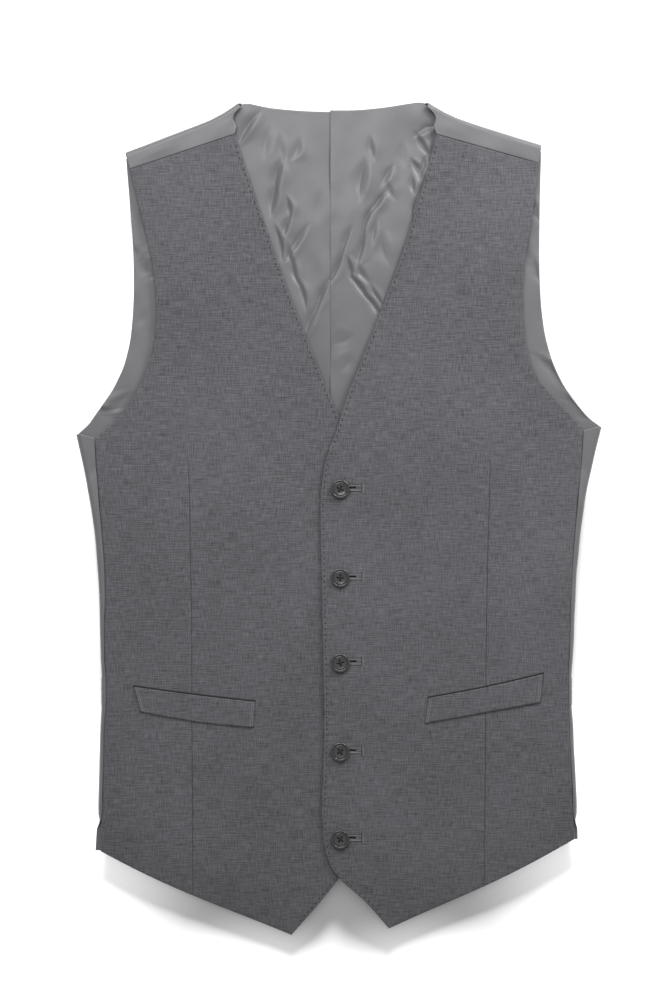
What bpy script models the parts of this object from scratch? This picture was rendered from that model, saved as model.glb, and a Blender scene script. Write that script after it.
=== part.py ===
"""Five-button suit waistcoat, buttoned and laid flat on its back with its fronts up.

Sizes are in millimetres and become metres when a mesh is made. +X is the wearer's left,
+Y runs from the hem to the neck, and +Z points up from the surface that the back lies on.
Each piece that a maker cuts is a wall of cloth through rows of sections. A panel's own
sections use "out", the distance from the middle of the garment towards the panel's side.
"""

import math
from collections import namedtuple

import bmesh
import bpy
from mathutils import Vector

MM = 0.001

# Walls and clearances.
WOOL_WALL = 2.0  # face cloth, canvas and facing, pressed together
SATIN_WALL = 1.0
WELT_WALL = 1.2
SEAM_GAP = 0.5
LAYER_GAP = 0.3

# Heights of the middle of each wall.
BACK_Z = SATIN_WALL / 2
LINING_Z = BACK_Z + SATIN_WALL + LAYER_GAP
ROLL = 3.5  # radius of the soft folds at the sides and the shoulders
ROLL_Z = BACK_Z + ROLL
MOST_PAST = 0.9  # a seam out on the roll itself is reached at most this far round
FRONT_Z = BACK_Z + 2 * ROLL + SATIN_WALL / 2 - WOOL_WALL / 2
UNDER_DIP = 1.2  # the under front sinks this much below the button edge
OVER_RISE = WOOL_WALL + LAYER_GAP - UNDER_DIP  # so the over front clears the under one

# Places along the garment.
BACK_SEAM_X = -7.0
LAP_TOP, LAP_TOP_END = 85.0, 125.0
LAP_LOW, LAP_LOW_END = -292.0, -325.0
LAP_HALF, LAP_HALF_END = 26.0, 60.0
HEM_BULGE, HEM_BULGE_END = 3.2, 60.0
HEM_DROOP, HEM_DROOP_REACH = 3.2, 24.0
TIP_DROOP, TIP_DROOP_START, TIP_DROOP_END = 1.3, -280.0, -325.0
VENT_TOP, VENT_OPEN = -236.0, -249.0
VENT_EASE, VENT_EASE_END = 14.0, -206.0  # the lining keeps this far inside the fold there
LINING_HEM, LINING_LOW = -249.0, -232.0
LINING_LEVELS = (-60.0, -20.0, 20.0)

# Mesh density.
FRONT_STEP, FRONT_CELLS = 23.0, 9
BACK_STEP, BACK_CELLS, NECK_CELLS = 30.0, 8, 4
ROLL_CELLS, CHEST_CELLS, LINING_CHEST_CELLS, WELT_CELLS = 10, 11, 15, 8
ROLL_FACETS, SHOULDER_FACETS, BUTTON_FACETS = 24, 6, 28
SIDE_STEP, EDGE_STEP = 12.0, 8.0
SHOULDER_STRIP = (0.4, 1.0)  # columns of the strip between the shoulder fold and its seam

# Waist strap and its slide.
STRAP_Y, STRAP_WIDTH = -138.0, 22.0
STRAP_ROOM, STRAP_ROOM_END = 13.0, 26.0
STRAP_LEVELS = tuple(STRAP_Y + step for step in (-38, -26, -13, 13, 26, 38))
SLIDE_X = -80.0
STRAP_END = (0.0, 7.0, 15.0, 21.0, 27.0)  # columns of the strap from its end
STRAP_DROP = (15.0, 27.0)  # between these it comes down off the slide
SLIDE_ROOM, SLIDE_ROOM_END = 24.0, 44.0
SLIDE_ROOM_Y, SLIDE_ROOM_Y_END = 18.0, 38.0
SLIDE_OUTER, SLIDE_BAR, SLIDE_SHEET = 28.0, 2.5, 0.9
SLIDE_DEEP, SLIDE_MIDDLE_BAR, SLIDE_MIDDLE_HALF = 3.1, 0.6, 1.5
STRAP_LIFT = SATIN_WALL + LAYER_GAP
SLIDE_LIFT = SLIDE_DEEP + LAYER_GAP - STRAP_LIFT

# Buttons and their holes.
BUTTON_X, TOP_BUTTON_Y = 1.0, 24.0
BUTTON_PITCHES = (71.0, 68.0, 71.0, 70.0)
SHANK_RADIUS = 1.3
EYELET_RADIUS, SLIT_WIDTH, SLIT_END = 2.2, 1.0, 20.0
HOLE_RADIUS, HOLE_OFFSET = 0.7, 1.5
ROD_SIDES, SHANK_SIDES, HOLE_SIDES = 16, 12, 10

# A front's sections, from the hem or the underarm upwards: its front edge, then its side.
Section = namedtuple("Section", "edge_out edge_y side_out side_y")
LEFT_BODY = (
    Section(40, -328, 188.8, -256),
    Section(21, -305.5, 187.4, -238),
    Section(0, -288, 186.6, -222),
    Section(-9.5, -275, 186.0, -210),
    Section(-12.5, -258, 185.5, -198),
    Section(-12, -180, 183.8, -150),
    Section(-13, -97, 184.2, -92),
    Section(-14.5, -20, 188.0, -20),
    Section(-15, 16, 191.3, 16),
    Section(-12.5, 43, 193.8, 44),
    Section(-3, 69, 195.6, 72),
)
LEFT_CHEST = (
    Section(-3, 69, 195.6, 72),
    Section(10, 108, 175.0, 94),
    Section(20, 132, 158.5, 112),
    Section(30, 158, 149.5, 136),
    Section(40, 184.5, 146.4, 168),
    Section(50.5, 213, 148.8, 207),
    Section(63, 253, 155.5, 248),
    Section(78, 308, 159.6, 284.8),
)
RIGHT_BODY = (
    Section(38, -333.4, 190.8, -266),
    Section(16, -308, 190.6, -249),
    Section(0, -288, 189.6, -237),
    Section(-11.5, -272, 188.2, -222),
    Section(-14.5, -256, 187.0, -205),
    Section(-14.5, -180, 185.0, -150),
    Section(-14.5, -97, 185.0, -92),
    Section(-14.5, -20, 188.7, -22),
    Section(-14.5, 16, 192.1, 14),
    Section(-12, 47, 194.1, 42),
    Section(-5, 70, 195.4, 64),
)
RIGHT_CHEST = (
    Section(-5, 70, 195.4, 64),
    Section(10, 106, 173.5, 84),
    Section(20.5, 132, 157.5, 109),
    Section(31, 159, 149.0, 134),
    Section(41.5, 186, 145.8, 166),
    Section(53, 218, 148.6, 199),
    Section(66, 256, 158.5, 243),
    Section(83.4, 308, 167.4, 280),
)

# A back half's outline, each point a distance out from the middle and a height.
Outline = namedtuple("Outline", "hem side armhole neck shoulder")
LEFT_BACK = Outline(
    hem=-257,
    side=((190.2, -262), (190.3, -236), (187.2, -175), (186.4, -140), (188.0, -80),
          (190.8, -30), (195.6, 11), (203.0, 47), (209.6, 74)),
    armhole=((199.5, 82), (188, 94.5), (176.8, 112), (167, 137), (162.5, 162),
             (160.3, 200), (160.5, 250)),
    neck=((20, 327), (48.8, 330.8)),
    shoulder=((68.8, 333.2), (86.4, 323.5), (116, 313.3), (162.8, 298.8)),
)
RIGHT_BACK = Outline(
    hem=-266,
    side=((194.0, -266), (192.6, -236), (190.6, -180), (190.4, -130), (191.4, -60),
          (194.2, -18), (198.6, 14), (204.2, 43), (209.6, 68)),
    armhole=((197, 81), (186, 95.5), (175, 114), (167.6, 138), (164.4, 170),
             (164.2, 210), (167, 250)),
    neck=((20, 325.8), (50, 328)),
    shoulder=((77.6, 333.0), (89.6, 325.0), (120, 312.5), (171.6, 292.8)),
)

# The broadest folds of the back lining: soft ridges between two points.
Fold = namedtuple("Fold", "x0 y0 x1 y1 half_width height")
LINING_FOLDS = (
    Fold(-50, 290, -52, 235, 17, 1.5),
    Fold(19, 285, 16, 205, 18, 1.7),
    Fold(8, 236, -24, 152, 16, 1.4),
    Fold(48, 255, 34, 180, 15, 1.2),
)

# A pocket welt's corners as distances out and heights, and how far its edges bow down.
Welt = namedtuple("Welt", "inner_top outer_top inner_low outer_low top_bow low_bow")
LEFT_WELT = Welt((71.7, -143.4), (163.4, -124.2), (68.7, -163.2), (161.2, -146.4), 1.0, 0.0)
RIGHT_WELT = Welt((67.2, -146.4), (164.0, -134.4), (68.3, -166.4), (158.6, -153.9), 0.6, 1.8)

# A button's turned outline from its underside to its dished face: radius and height.
BUTTON_PROFILE = (
    (0, 0), (5.0, 0), (6.6, 0.4), (7.4, 1.1), (7.6, 1.9), (7.4, 2.6), (6.8, 3.0),
    (6.1, 3.0), (5.5, 2.5), (4.6, 2.1), (0, 1.9),
)

# Colour, roughness and metallic value of each material.
Finish = namedtuple("Finish", "colour roughness metallic")
FINISHES = {
    "wool": Finish((0.115, 0.113, 0.125), 0.9, 0.0),
    "satin": Finish((0.25, 0.25, 0.265), 0.4, 0.0),
    "lining": Finish((0.26, 0.26, 0.275), 0.35, 0.0),
    "button_resin": Finish((0.06, 0.062, 0.064), 0.25, 0.0),
    "thread": Finish((0.05, 0.05, 0.055), 0.8, 0.0),
    "slide_metal": Finish((0.35, 0.35, 0.36), 0.35, 1.0),
}


def smooth(t):
    t = min(max(t, 0.0), 1.0)
    return t * t * (3 - 2 * t)


def fade(value, full, none):
    """1 up to full, then smoothly down to 0 at none."""
    return smooth((none - value) / (none - full))


def mix(a, b, t):
    return tuple(p + (q - p) * t for p, q in zip(a, b))


def spaced(rows, step):
    """Rows at most step apart on a smooth curve through the given rows, which it keeps."""
    gaps = [max(math.dist(a[i:i + 2], b[i:i + 2]) for i in range(0, len(a), 2))
            for a, b in zip(rows, rows[1:])]
    rates = [[(q - p) / gap for p, q in zip(a, b)] for a, b, gap in zip(rows, rows[1:], gaps)]
    slopes = [rates[0]]
    for before, after, gap, next_gap in zip(rates, rates[1:], gaps, gaps[1:]):
        slopes.append([(m * next_gap + n * gap) / (gap + next_gap) for m, n in zip(before, after)])
    slopes.append(rates[-1])
    found = [tuple(rows[0])]
    for i, gap in enumerate(gaps):
        count = max(1, round(gap / step))
        for k in range(1, count + 1):
            t = k / count
            found.append(tuple(
                p * (1 + 2 * t) * (1 - t) ** 2 + m * gap * t * (1 - t) ** 2
                + q * t * t * (3 - 2 * t) + n * gap * t * t * (t - 1)
                for p, m, q, n in zip(rows[i], slopes[i], rows[i + 1], slopes[i + 1])
            ))
    return found


def out_at(line, y):
    """How far out a line of (out, y) points is at a height."""
    for a, b in zip(line, line[1:]):
        if a[1] <= y <= b[1]:
            return a[0] + (b[0] - a[0]) * (y - a[1]) / (b[1] - a[1])
    return line[0][0] if y < line[0][1] else line[-1][0]


def evenly(line, count):
    """Points that cut a line into count stretches of equal length."""
    lengths = [0.0]
    for a, b in zip(line, line[1:]):
        lengths.append(lengths[-1] + math.dist(a, b))
    found, i = [], 0
    for k in range(count + 1):
        at = lengths[-1] * k / count
        while i < len(line) - 2 and lengths[i + 1] < at:
            i += 1
        found.append(mix(line[i], line[i + 1], (at - lengths[i]) / (lengths[i + 1] - lengths[i])))
    return found


def room(x, y):
    """How far the strap and its slide lift the cloth that lies on them."""
    off = abs(y - STRAP_Y)
    strap = STRAP_LIFT * fade(off, STRAP_ROOM, STRAP_ROOM_END)
    slide = fade(abs(x - SLIDE_X), SLIDE_ROOM, SLIDE_ROOM_END)
    return strap + SLIDE_LIFT * slide * fade(off, SLIDE_ROOM_Y, SLIDE_ROOM_Y_END)


def lining_fold(x, y):
    """Height of the lining's folds above its flat level."""
    height = 0.0
    for fold in LINING_FOLDS:
        run = Vector((fold.x1 - fold.x0, fold.y1 - fold.y0))
        off = Vector((x - fold.x0, y - fold.y0))
        along = off.dot(run) / run.length_squared
        across = abs(run.cross(off)) / run.length
        height += fold.height * fade(across, 0, fold.half_width) * fade(abs(along - 0.5), 0.25, 0.7)
    return height


def material(slot):
    """The Principled material of one slot."""
    made = bpy.data.materials.get(slot)
    if made:
        return made
    finish = FINISHES[slot]
    made = bpy.data.materials.new(slot)
    made.use_nodes = True
    shader = made.node_tree.nodes["Principled BSDF"]
    shader.inputs["Base Color"].default_value = (*finish.colour, 1)
    shader.inputs["Roughness"].default_value = finish.roughness
    shader.inputs["Metallic"].default_value = finish.metallic
    made.diffuse_color = (*finish.colour, 1)
    return made


def add_object(name, mesh, slot):
    """Links a mesh into the scene as a named piece, shaded smooth with sharp rims."""
    mesh.shade_smooth()
    mesh.set_sharp_from_angle(angle=math.radians(40))
    if slot:
        mesh.materials.append(material(slot))
    made = bpy.data.objects.new(name, mesh)
    bpy.context.scene.collection.objects.link(made)
    return made


def cloth(name, rows, wall, slot):
    """A wall of cloth on a grid of points, in which None leaves a place empty."""
    shape = bmesh.new()
    grid = [[point and shape.verts.new(Vector(point) * MM) for point in row] for row in rows]
    for low, high in zip(grid, grid[1:]):
        for j in range(min(len(low), len(high)) - 1):
            corners = (low[j], low[j + 1], high[j + 1], high[j])
            if None not in corners:
                shape.faces.new(corners)
    mesh = bpy.data.meshes.new(name)
    shape.to_mesh(mesh)
    shape.free()
    made = add_object(name, mesh, slot)
    thicken = made.modifiers.new("wall", "SOLIDIFY")
    thicken.thickness = wall * MM
    thicken.offset = 0
    thicken.use_even_offset = True
    thicken.use_quality_normals = True
    return made


def cut_or_join(target, others, operation):
    """Applies helper shapes to a piece. The helpers stay, hidden, as guides."""
    for other in others:
        other.hide_render = True
        other.display_type = "WIRE"
        boolean = target.modifiers.new(other.name, "BOOLEAN")
        boolean.object = other
        boolean.operation = operation
        boolean.solver = "EXACT"


def block(name, low, high, slot=None):
    """A plain box between two corners."""
    shape = bmesh.new()
    bmesh.ops.create_cube(shape, size=1)
    for vert in shape.verts:
        vert.co = Vector([MM * (a if c < 0 else b) for a, b, c in zip(low, high, vert.co)])
    mesh = bpy.data.meshes.new(name)
    shape.to_mesh(mesh)
    shape.free()
    return add_object(name, mesh, slot)


def rod(name, x, y, low, high, radius, slot=None, sides=ROD_SIDES):
    """An upright round rod."""
    shape = bmesh.new()
    bmesh.ops.create_cone(shape, cap_ends=True, segments=sides, radius1=radius * MM,
                          radius2=radius * MM, depth=(high - low) * MM)
    bmesh.ops.translate(shape, verts=shape.verts, vec=Vector((x, y, (low + high) / 2)) * MM)
    mesh = bpy.data.meshes.new(name)
    shape.to_mesh(mesh)
    shape.free()
    return add_object(name, mesh, slot)


class Front:
    """One front: its sections, and the height of its cloth at any place."""

    def __init__(self, name, side, body, chest, lap_lift):
        self.name, self.side, self.lap_lift = name, side, lap_lift
        self.tip, self.corner = body[0][:2], body[0][2:]
        body_rows = spaced(body, FRONT_STEP)
        self.sections = body_rows + spaced(chest, FRONT_STEP)[1:]
        self.seam = [section[2:] for section in body_rows]
        self.shoulder = (chest[-1][:2], chest[-1][2:])

    def z(self, out, y):
        """Height of the middle of the wall."""
        lap = fade(abs(out), LAP_HALF, LAP_HALF_END) * fade(y, LAP_TOP, LAP_TOP_END)
        lap *= fade(-y, -LAP_LOW, -LAP_LOW_END)
        slope = (self.corner[1] - self.tip[1]) / (self.corner[0] - self.tip[0])
        above_hem = y - self.tip[1] - slope * (out - self.tip[0])
        droop = HEM_DROOP * fade(above_hem, 0, HEM_DROOP_REACH)
        droop += TIP_DROOP * (1 - fade(-y, -TIP_DROOP_START, -TIP_DROOP_END))
        return FRONT_Z + self.lap_lift * lap - droop

    def point(self, out, y, above=0.0):
        return (self.side * out, y, self.z(out, y) + above)

    def build(self):
        rows = []
        for section in self.sections:
            bulge = HEM_BULGE * fade(section[3] - self.corner[1], 0, HEM_BULGE_END)
            row = []
            for j in range(FRONT_CELLS + 1):
                u = j / FRONT_CELLS
                out, y = mix(section[:2], section[2:], u)
                row.append(self.point(out, y - bulge * math.sin(math.pi * u ** 1.5)))
            rows.append(row)
        return cloth(self.name, rows, WOOL_WALL, "wool")


class BackHalf:
    """One half of the back: the satin panel that wraps forward, and the lining inside it."""

    def __init__(self, label, side, outline, front):
        self.label, self.side, self.front = label, side, front
        self.middle = side * BACK_SEAM_X
        self.outline = outline
        self.fold = spaced(outline.side, SIDE_STEP)
        self.underarm_y = outline.side[-1][1]

    def fold_centre(self, y):
        return out_at(self.fold, y) - SATIN_WALL / 2 - ROLL

    def roll(self, y, inner, sink, cells):
        """The path round the side, from a point on the underside to the side seam."""
        centre = self.fold_centre(y)
        radius = ROLL - sink
        end = out_at(self.front.seam, max(y, VENT_TOP)) + SEAM_GAP
        past = min(max((end - centre) / radius, 0.0), MOST_PAST)
        turn = math.pi - math.asin(past)
        turns = [turn * k / ROLL_FACETS for k in range(ROLL_FACETS + 1)]
        arc = [(centre + radius * math.sin(a), ROLL_Z - radius * math.cos(a)) for a in turns]
        if end < centre:
            arc.append((end, ROLL_Z + radius))
        wrapped = [(inner, ROLL_Z - radius)] + evenly(arc, cells)
        edge = out_at(self.fold, y) - SATIN_WALL / 2
        count = len(wrapped) - 1
        flat = [(inner + (edge - inner) * k / count, BACK_Z) for k in range(count + 1)]
        return [mix(a, b, 1 - fade(-y, -VENT_TOP, -VENT_OPEN)) for a, b in zip(wrapped, flat)]

    def torso_row(self, y):
        centre = self.fold_centre(y)
        start = self.middle + SEAM_GAP / 2
        row = []
        for j in range(BACK_CELLS - 1):
            out = start + (centre - start) * j / BACK_CELLS
            row.append((out, y, BACK_Z + room(self.side * out, y)))
        inner = start + (centre - start) * (BACK_CELLS - 1) / BACK_CELLS
        lift = STRAP_LIFT * fade(abs(y - STRAP_Y), STRAP_ROOM, STRAP_ROOM_END)
        row += [(out, y, z) for out, z in self.roll(y, inner, lift, ROLL_CELLS)]
        return row

    def shoulder_sections(self):
        """For each column of the shoulder: the fold's centre, its way out and the seam's point."""
        cells = BACK_CELLS - NECK_CELLS
        folds = evenly(spaced(self.outline.shoulder, EDGE_STEP), cells)
        neck_end, arm_end = self.front.shoulder
        found = []
        for k, fold in enumerate(folds):
            seam = Vector(mix(neck_end, arm_end, k / cells))
            outward = (Vector(fold) - seam).normalized()
            centre = Vector(fold) - outward * (ROLL + SATIN_WALL / 2)
            found.append((centre, outward, seam + outward * SEAM_GAP))
        return found

    def chest(self, start, corner, cells, inset):
        """The chest's grid of (out, y) between the underarm and the neck and shoulder."""
        tops = [tuple(centre) for centre, _, _ in self.shoulder_sections()]
        neck = ((self.middle, self.outline.neck[0][1]),) + self.outline.neck + (tops[0],)
        top = evenly(spaced(neck, EDGE_STEP), NECK_CELLS) + tops[1:]
        arm = evenly(spaced((corner,) + self.outline.armhole + (top[-1],), EDGE_STEP), cells)
        top = [(max(out, start), y - inset) for out, y in top]
        arm = [(out - inset, y - inset * k / cells) for k, (out, y) in enumerate(arm)]
        low = [(start + (arm[0][0] - start) * j / BACK_CELLS, arm[0][1])
               for j in range(BACK_CELLS + 1)]
        middle = [mix((start, arm[0][1]), (start, top[0][1]), k / cells) for k in range(cells + 1)]
        grid = []
        for i in range(1, cells + 1):
            t = i / cells
            row = []
            for j in range(BACK_CELLS + 1):
                u = j / BACK_CELLS
                across, upward = mix(middle[i], arm[i], u), mix(low[j], top[j], t)
                corners = mix(mix(low[0], low[-1], u), mix(top[0], top[-1], u), t)
                row.append(tuple(a + b - c for a, b, c in zip(across, upward, corners)))
            grid.append(row)
        return grid

    def build_panel(self):
        levels = [self.outline.hem, VENT_OPEN, (VENT_OPEN + VENT_TOP) / 2, VENT_TOP,
                  VENT_EASE_END, *STRAP_LEVELS, self.underarm_y]
        rows = []
        for low, high in zip(levels, levels[1:]):
            count = max(1, round((high - low) / BACK_STEP))
            rows += [self.torso_row(low + (high - low) * k / count) for k in range(count)]
        rows.append(self.torso_row(self.underarm_y))
        start = self.middle + SEAM_GAP / 2
        corner = (self.fold_centre(self.underarm_y), self.underarm_y)
        for row in self.chest(start, corner, CHEST_CELLS, 0.0):
            rows.append([(out, y, BACK_Z) for out, y in row])
        empty = [None] * NECK_CELLS
        sections = self.shoulder_sections()
        for k in range(1, SHOULDER_FACETS + 1):
            turn = math.pi * k / SHOULDER_FACETS
            band = [centre + outward * ROLL * math.sin(turn) for centre, outward, _ in sections]
            z = ROLL_Z - ROLL * math.cos(turn)
            rows.append(empty + [(point.x, point.y, z) for point in band])
        for k in SHOULDER_STRIP:
            band = [centre.lerp(seam, k) for centre, _, seam in sections]
            rows.append(empty + [(point.x, point.y, ROLL_Z + ROLL) for point in band])
        return self.made("back_" + self.label, rows, "satin")

    def build_lining(self):
        inset = SEAM_GAP
        start = self.middle + SEAM_GAP / 2
        levels = [LINING_HEM, LINING_LOW, VENT_EASE_END, *STRAP_LEVELS, *LINING_LEVELS,
                  self.underarm_y]
        rows = []
        for y in levels:
            side = self.fold_centre(y) - inset - VENT_EASE * fade(y, LINING_LOW, VENT_EASE_END)
            rows.append([(start + (side - start) * j / BACK_CELLS, y)
                         for j in range(BACK_CELLS + 1)])
        corner = (self.fold_centre(self.underarm_y), self.underarm_y)
        rows += self.chest(start, corner, LINING_CHEST_CELLS, inset)
        rows = [[(out, y, LINING_Z + room(self.side * out, y) + lining_fold(self.side * out, y))
                 for out, y in row] for row in rows]
        return self.made("back_lining_" + self.label, rows, "lining")

    def build_strap(self):
        """The strap half, from its end over the slide to the side seam, round the fold."""
        first = self.side * SLIDE_X + SEAM_GAP / 2
        outs = [first + step for step in STRAP_END]
        centre = self.fold_centre(STRAP_Y)
        count = max(1, round((centre - outs[-1]) / BACK_STEP))
        outs += [outs[-1] + (centre - outs[-1]) * k / count for k in range(1, count)]
        over = SLIDE_SHEET + LAYER_GAP
        rows = []
        for y in (STRAP_Y - STRAP_WIDTH / 2, STRAP_Y, STRAP_Y + STRAP_WIDTH / 2):
            row = [(out, y, BACK_Z + over * fade(out - first, *STRAP_DROP)) for out in outs[:-1]]
            row += [(out, y, z) for out, z in self.roll(y, outs[-1], 0.0, ROLL_CELLS + 4)]
            rows.append(row)
        return self.made("back_strap_" + self.label, rows, "satin")

    def made(self, name, rows, slot):
        turned = [[point and (self.side * point[0], *point[1:]) for point in row] for row in rows]
        return cloth(name, turned, SATIN_WALL, slot)


def build_welt(front, label, welt):
    """A pocket's welt, moved out from the points of the front that it lies on."""
    above = WOOL_WALL / 2 + LAYER_GAP + WELT_WALL / 2
    rows = []
    for k in range(3):
        inner = mix(welt.inner_low, welt.inner_top, k / 2)
        outer = mix(welt.outer_low, welt.outer_top, k / 2)
        bow = welt.low_bow + (welt.top_bow - welt.low_bow) * k / 2
        row = []
        for j in range(WELT_CELLS + 1):
            out, y = mix(inner, outer, j / WELT_CELLS)
            row.append(front.point(out, y - bow * math.sin(math.pi * j / WELT_CELLS), above))
        rows.append(row)
    return cloth("welt_" + label, rows, WELT_WALL, "wool")


def button_heights():
    heights = [TOP_BUTTON_Y]
    for pitch in BUTTON_PITCHES:
        heights.append(heights[-1] - pitch)
    return heights


def cut_buttonholes(front_object, front):
    """Keyhole buttonholes: a round eye for the shank, and a slit away from the front edge."""
    for number, y in enumerate(button_heights(), 1):
        z = front.z(BUTTON_X, y)
        low, high = z - WOOL_WALL, z + WOOL_WALL
        eye = rod(f"eyelet_cutter_{number}", BUTTON_X, y, low, high, EYELET_RADIUS)
        slit = block(f"slit_cutter_{number}", (BUTTON_X, y - SLIT_WIDTH / 2, low),
                     (SLIT_END, y + SLIT_WIDTH / 2, high))
        cut_or_join(front_object, (eye, slit), "DIFFERENCE")


def build_button(number, y, seat_z):
    """A sew-through button, turned from its profile, with four holes."""
    shape = bmesh.new()
    ring = [shape.verts.new((radius * MM, 0, z * MM)) for radius, z in BUTTON_PROFILE]
    edges = [shape.edges.new(pair) for pair in zip(ring, ring[1:])]
    bmesh.ops.spin(shape, geom=ring + edges, cent=(0, 0, 0), axis=(0, 0, 1),
                   angle=math.tau, steps=BUTTON_FACETS, use_merge=True)
    bmesh.ops.remove_doubles(shape, verts=shape.verts, dist=0.01 * MM)
    bmesh.ops.recalc_face_normals(shape, faces=shape.faces)
    mesh = bpy.data.meshes.new(f"button_{number}")
    shape.to_mesh(mesh)
    shape.free()
    button = add_object(f"button_{number}", mesh, "button_resin")
    button.location = Vector((BUTTON_X, y, seat_z)) * MM
    holes = [rod(f"hole_cutter_{number}_{i}{j}", BUTTON_X + i * HOLE_OFFSET, y + j * HOLE_OFFSET,
                 seat_z - 1, seat_z + 4, HOLE_RADIUS, sides=HOLE_SIDES)
             for i in (-1, 1) for j in (-1, 1)]
    cut_or_join(button, holes, "DIFFERENCE")


def build_buttons(under, over):
    """Each button rests on the over front, and its thread shank comes from the under front."""
    for number, y in enumerate(button_heights(), 1):
        root = under.z(-BUTTON_X, y) + WOOL_WALL / 2 + LAYER_GAP
        seat = over.z(BUTTON_X, y) + WOOL_WALL / 2 + LAYER_GAP
        rod(f"button_shank_{number}", BUTTON_X, y, root, seat - LAYER_GAP, SHANK_RADIUS,
            "thread", SHANK_SIDES)
        build_button(number, y, seat)


def build_slide():
    """The metal slide that the strap halves meet in: two rails, two end bars and a middle bar."""
    half, rail = SLIDE_OUTER / 2, SLIDE_OUTER / 2 - SLIDE_BAR
    x, y = SLIDE_X, STRAP_Y
    slide = block("strap_slide", (x - half, y - half, 0), (x + half, y - rail, SLIDE_DEEP),
                  "slide_metal")
    parts = [block("slide_rail", (x - half, y + rail, 0), (x + half, y + half, SLIDE_DEEP))]
    for end, (left, right) in enumerate(((-half, -rail), (rail, half))):
        parts.append(block(f"slide_end_{end}", (x + left, y - half, 0),
                           (x + right, y + half, SLIDE_SHEET)))
    parts.append(block("slide_middle",
                       (x - SLIDE_MIDDLE_HALF, y - half, SLIDE_DEEP - SLIDE_MIDDLE_BAR),
                       (x + SLIDE_MIDDLE_HALF, y + half, SLIDE_DEEP)))
    cut_or_join(slide, parts, "UNION")


def main():
    for obj in list(bpy.data.objects):
        bpy.data.objects.remove(obj)
    right = Front("front_right", -1, RIGHT_BODY, RIGHT_CHEST, -UNDER_DIP)
    left = Front("front_left", 1, LEFT_BODY, LEFT_CHEST, OVER_RISE)
    right.build()
    cut_buttonholes(left.build(), left)
    build_welt(left, "left", LEFT_WELT)
    build_welt(right, "right", RIGHT_WELT)
    for label, side, outline, front in (("left", 1, LEFT_BACK, left),
                                        ("right", -1, RIGHT_BACK, right)):
        half = BackHalf(label, side, outline, front)
        half.build_panel()
        half.build_lining()
        half.build_strap()
    build_slide()
    build_buttons(right, left)


main()
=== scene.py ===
"""Looks of a five-button suit waistcoat, buttoned and laid flat on its back.

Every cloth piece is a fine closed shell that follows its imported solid, which is measured
here and never changed. Sizes are in millimetres and become metres when a mesh is made.
+X is the wearer's left, +Y runs from the hem to the neck and +Z up from the surface. A
panel's own places use "out", the distance from the middle of the garment towards its side.
"""

import logging
import math
from dataclasses import dataclass, field
from enum import Enum

import bpy
import numpy as np
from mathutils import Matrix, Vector
from mathutils.bvhtree import BVHTree
from mathutils.kdtree import KDTree


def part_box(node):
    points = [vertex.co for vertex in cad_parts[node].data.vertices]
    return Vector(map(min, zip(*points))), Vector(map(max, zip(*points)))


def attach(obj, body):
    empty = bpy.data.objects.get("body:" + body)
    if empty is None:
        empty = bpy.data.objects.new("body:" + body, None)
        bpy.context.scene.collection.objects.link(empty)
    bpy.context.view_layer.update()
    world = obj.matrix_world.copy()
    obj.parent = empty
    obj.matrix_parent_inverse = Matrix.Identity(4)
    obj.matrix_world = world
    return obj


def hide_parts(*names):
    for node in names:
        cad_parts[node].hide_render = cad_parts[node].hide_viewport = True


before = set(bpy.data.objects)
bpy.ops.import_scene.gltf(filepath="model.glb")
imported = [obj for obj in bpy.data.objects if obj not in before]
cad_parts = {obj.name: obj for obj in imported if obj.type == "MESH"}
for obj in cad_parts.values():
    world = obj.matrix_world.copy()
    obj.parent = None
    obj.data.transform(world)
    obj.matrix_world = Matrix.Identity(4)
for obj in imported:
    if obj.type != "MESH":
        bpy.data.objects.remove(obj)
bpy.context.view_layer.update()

logging.basicConfig(level=logging.INFO, format="%(message)s")
log = logging.getLogger("waistcoat")

MM = 0.001
RIM_STEPS = (0.0, 0.12, 0.4, 0.8, 1.4, 2.4)  # places of the rows next to a cloth's edge
SEAM_ROWS = np.array((0.5, 2.0))  # the same beside the centre-back seam
SEAM_GAP = 0.12  # between the side seam's two cloths
UNDERARM = (1.0, 0.15)  # direction in which the back's underarm corner lies farthest
NECK_TIP = (-0.05, 1.0)  # the same for the neck end of its shoulder
BODY = "root"
RUN_OUT = 0.15  # how far past its ends a crease runs out, as a share of its length
END_WIDTH = 0.45  # a crease's width at its ends, as a share
BANK_OFF = 2.1  # how many widths beside a fold its bank is
BANK_WIDTH = 1.3  # how much wider the bank is than the fold
ROUNDNESS = 0.06  # of a crease's crest
WAVES = 7  # in each set of ripples


class Cloth(Enum):
    """The record's material slots, whose names are passed along with new pieces."""

    WOOL = "wool"
    SATIN = "satin"
    LINING = "lining"
    RESIN = "button_resin"
    THREAD = "thread"


# ---------------------------------------------------------------------------- shader maths


class Socket:
    """A node's output in a shader expression, in which arithmetic adds Math nodes."""

    def __init__(self, book: "Book", link: bpy.types.NodeSocket) -> None:
        """Keeps the output and the tree that it belongs to."""
        self.book = book
        self.link = link

    def __add__(self, other: "Socket | float") -> "Socket":
        """This value plus another."""
        return self.book.math("ADD", self, other)

    __radd__ = __add__

    def __sub__(self, other: "Socket | float") -> "Socket":
        """This value less another."""
        return self.book.math("SUBTRACT", self, other)

    def __rsub__(self, other: float) -> "Socket":
        """A number less this value."""
        return self.book.math("SUBTRACT", other, self)

    def __mul__(self, other: "Socket | float") -> "Socket":
        """This value times another."""
        return self.book.math("MULTIPLY", self, other)

    __rmul__ = __mul__


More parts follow.
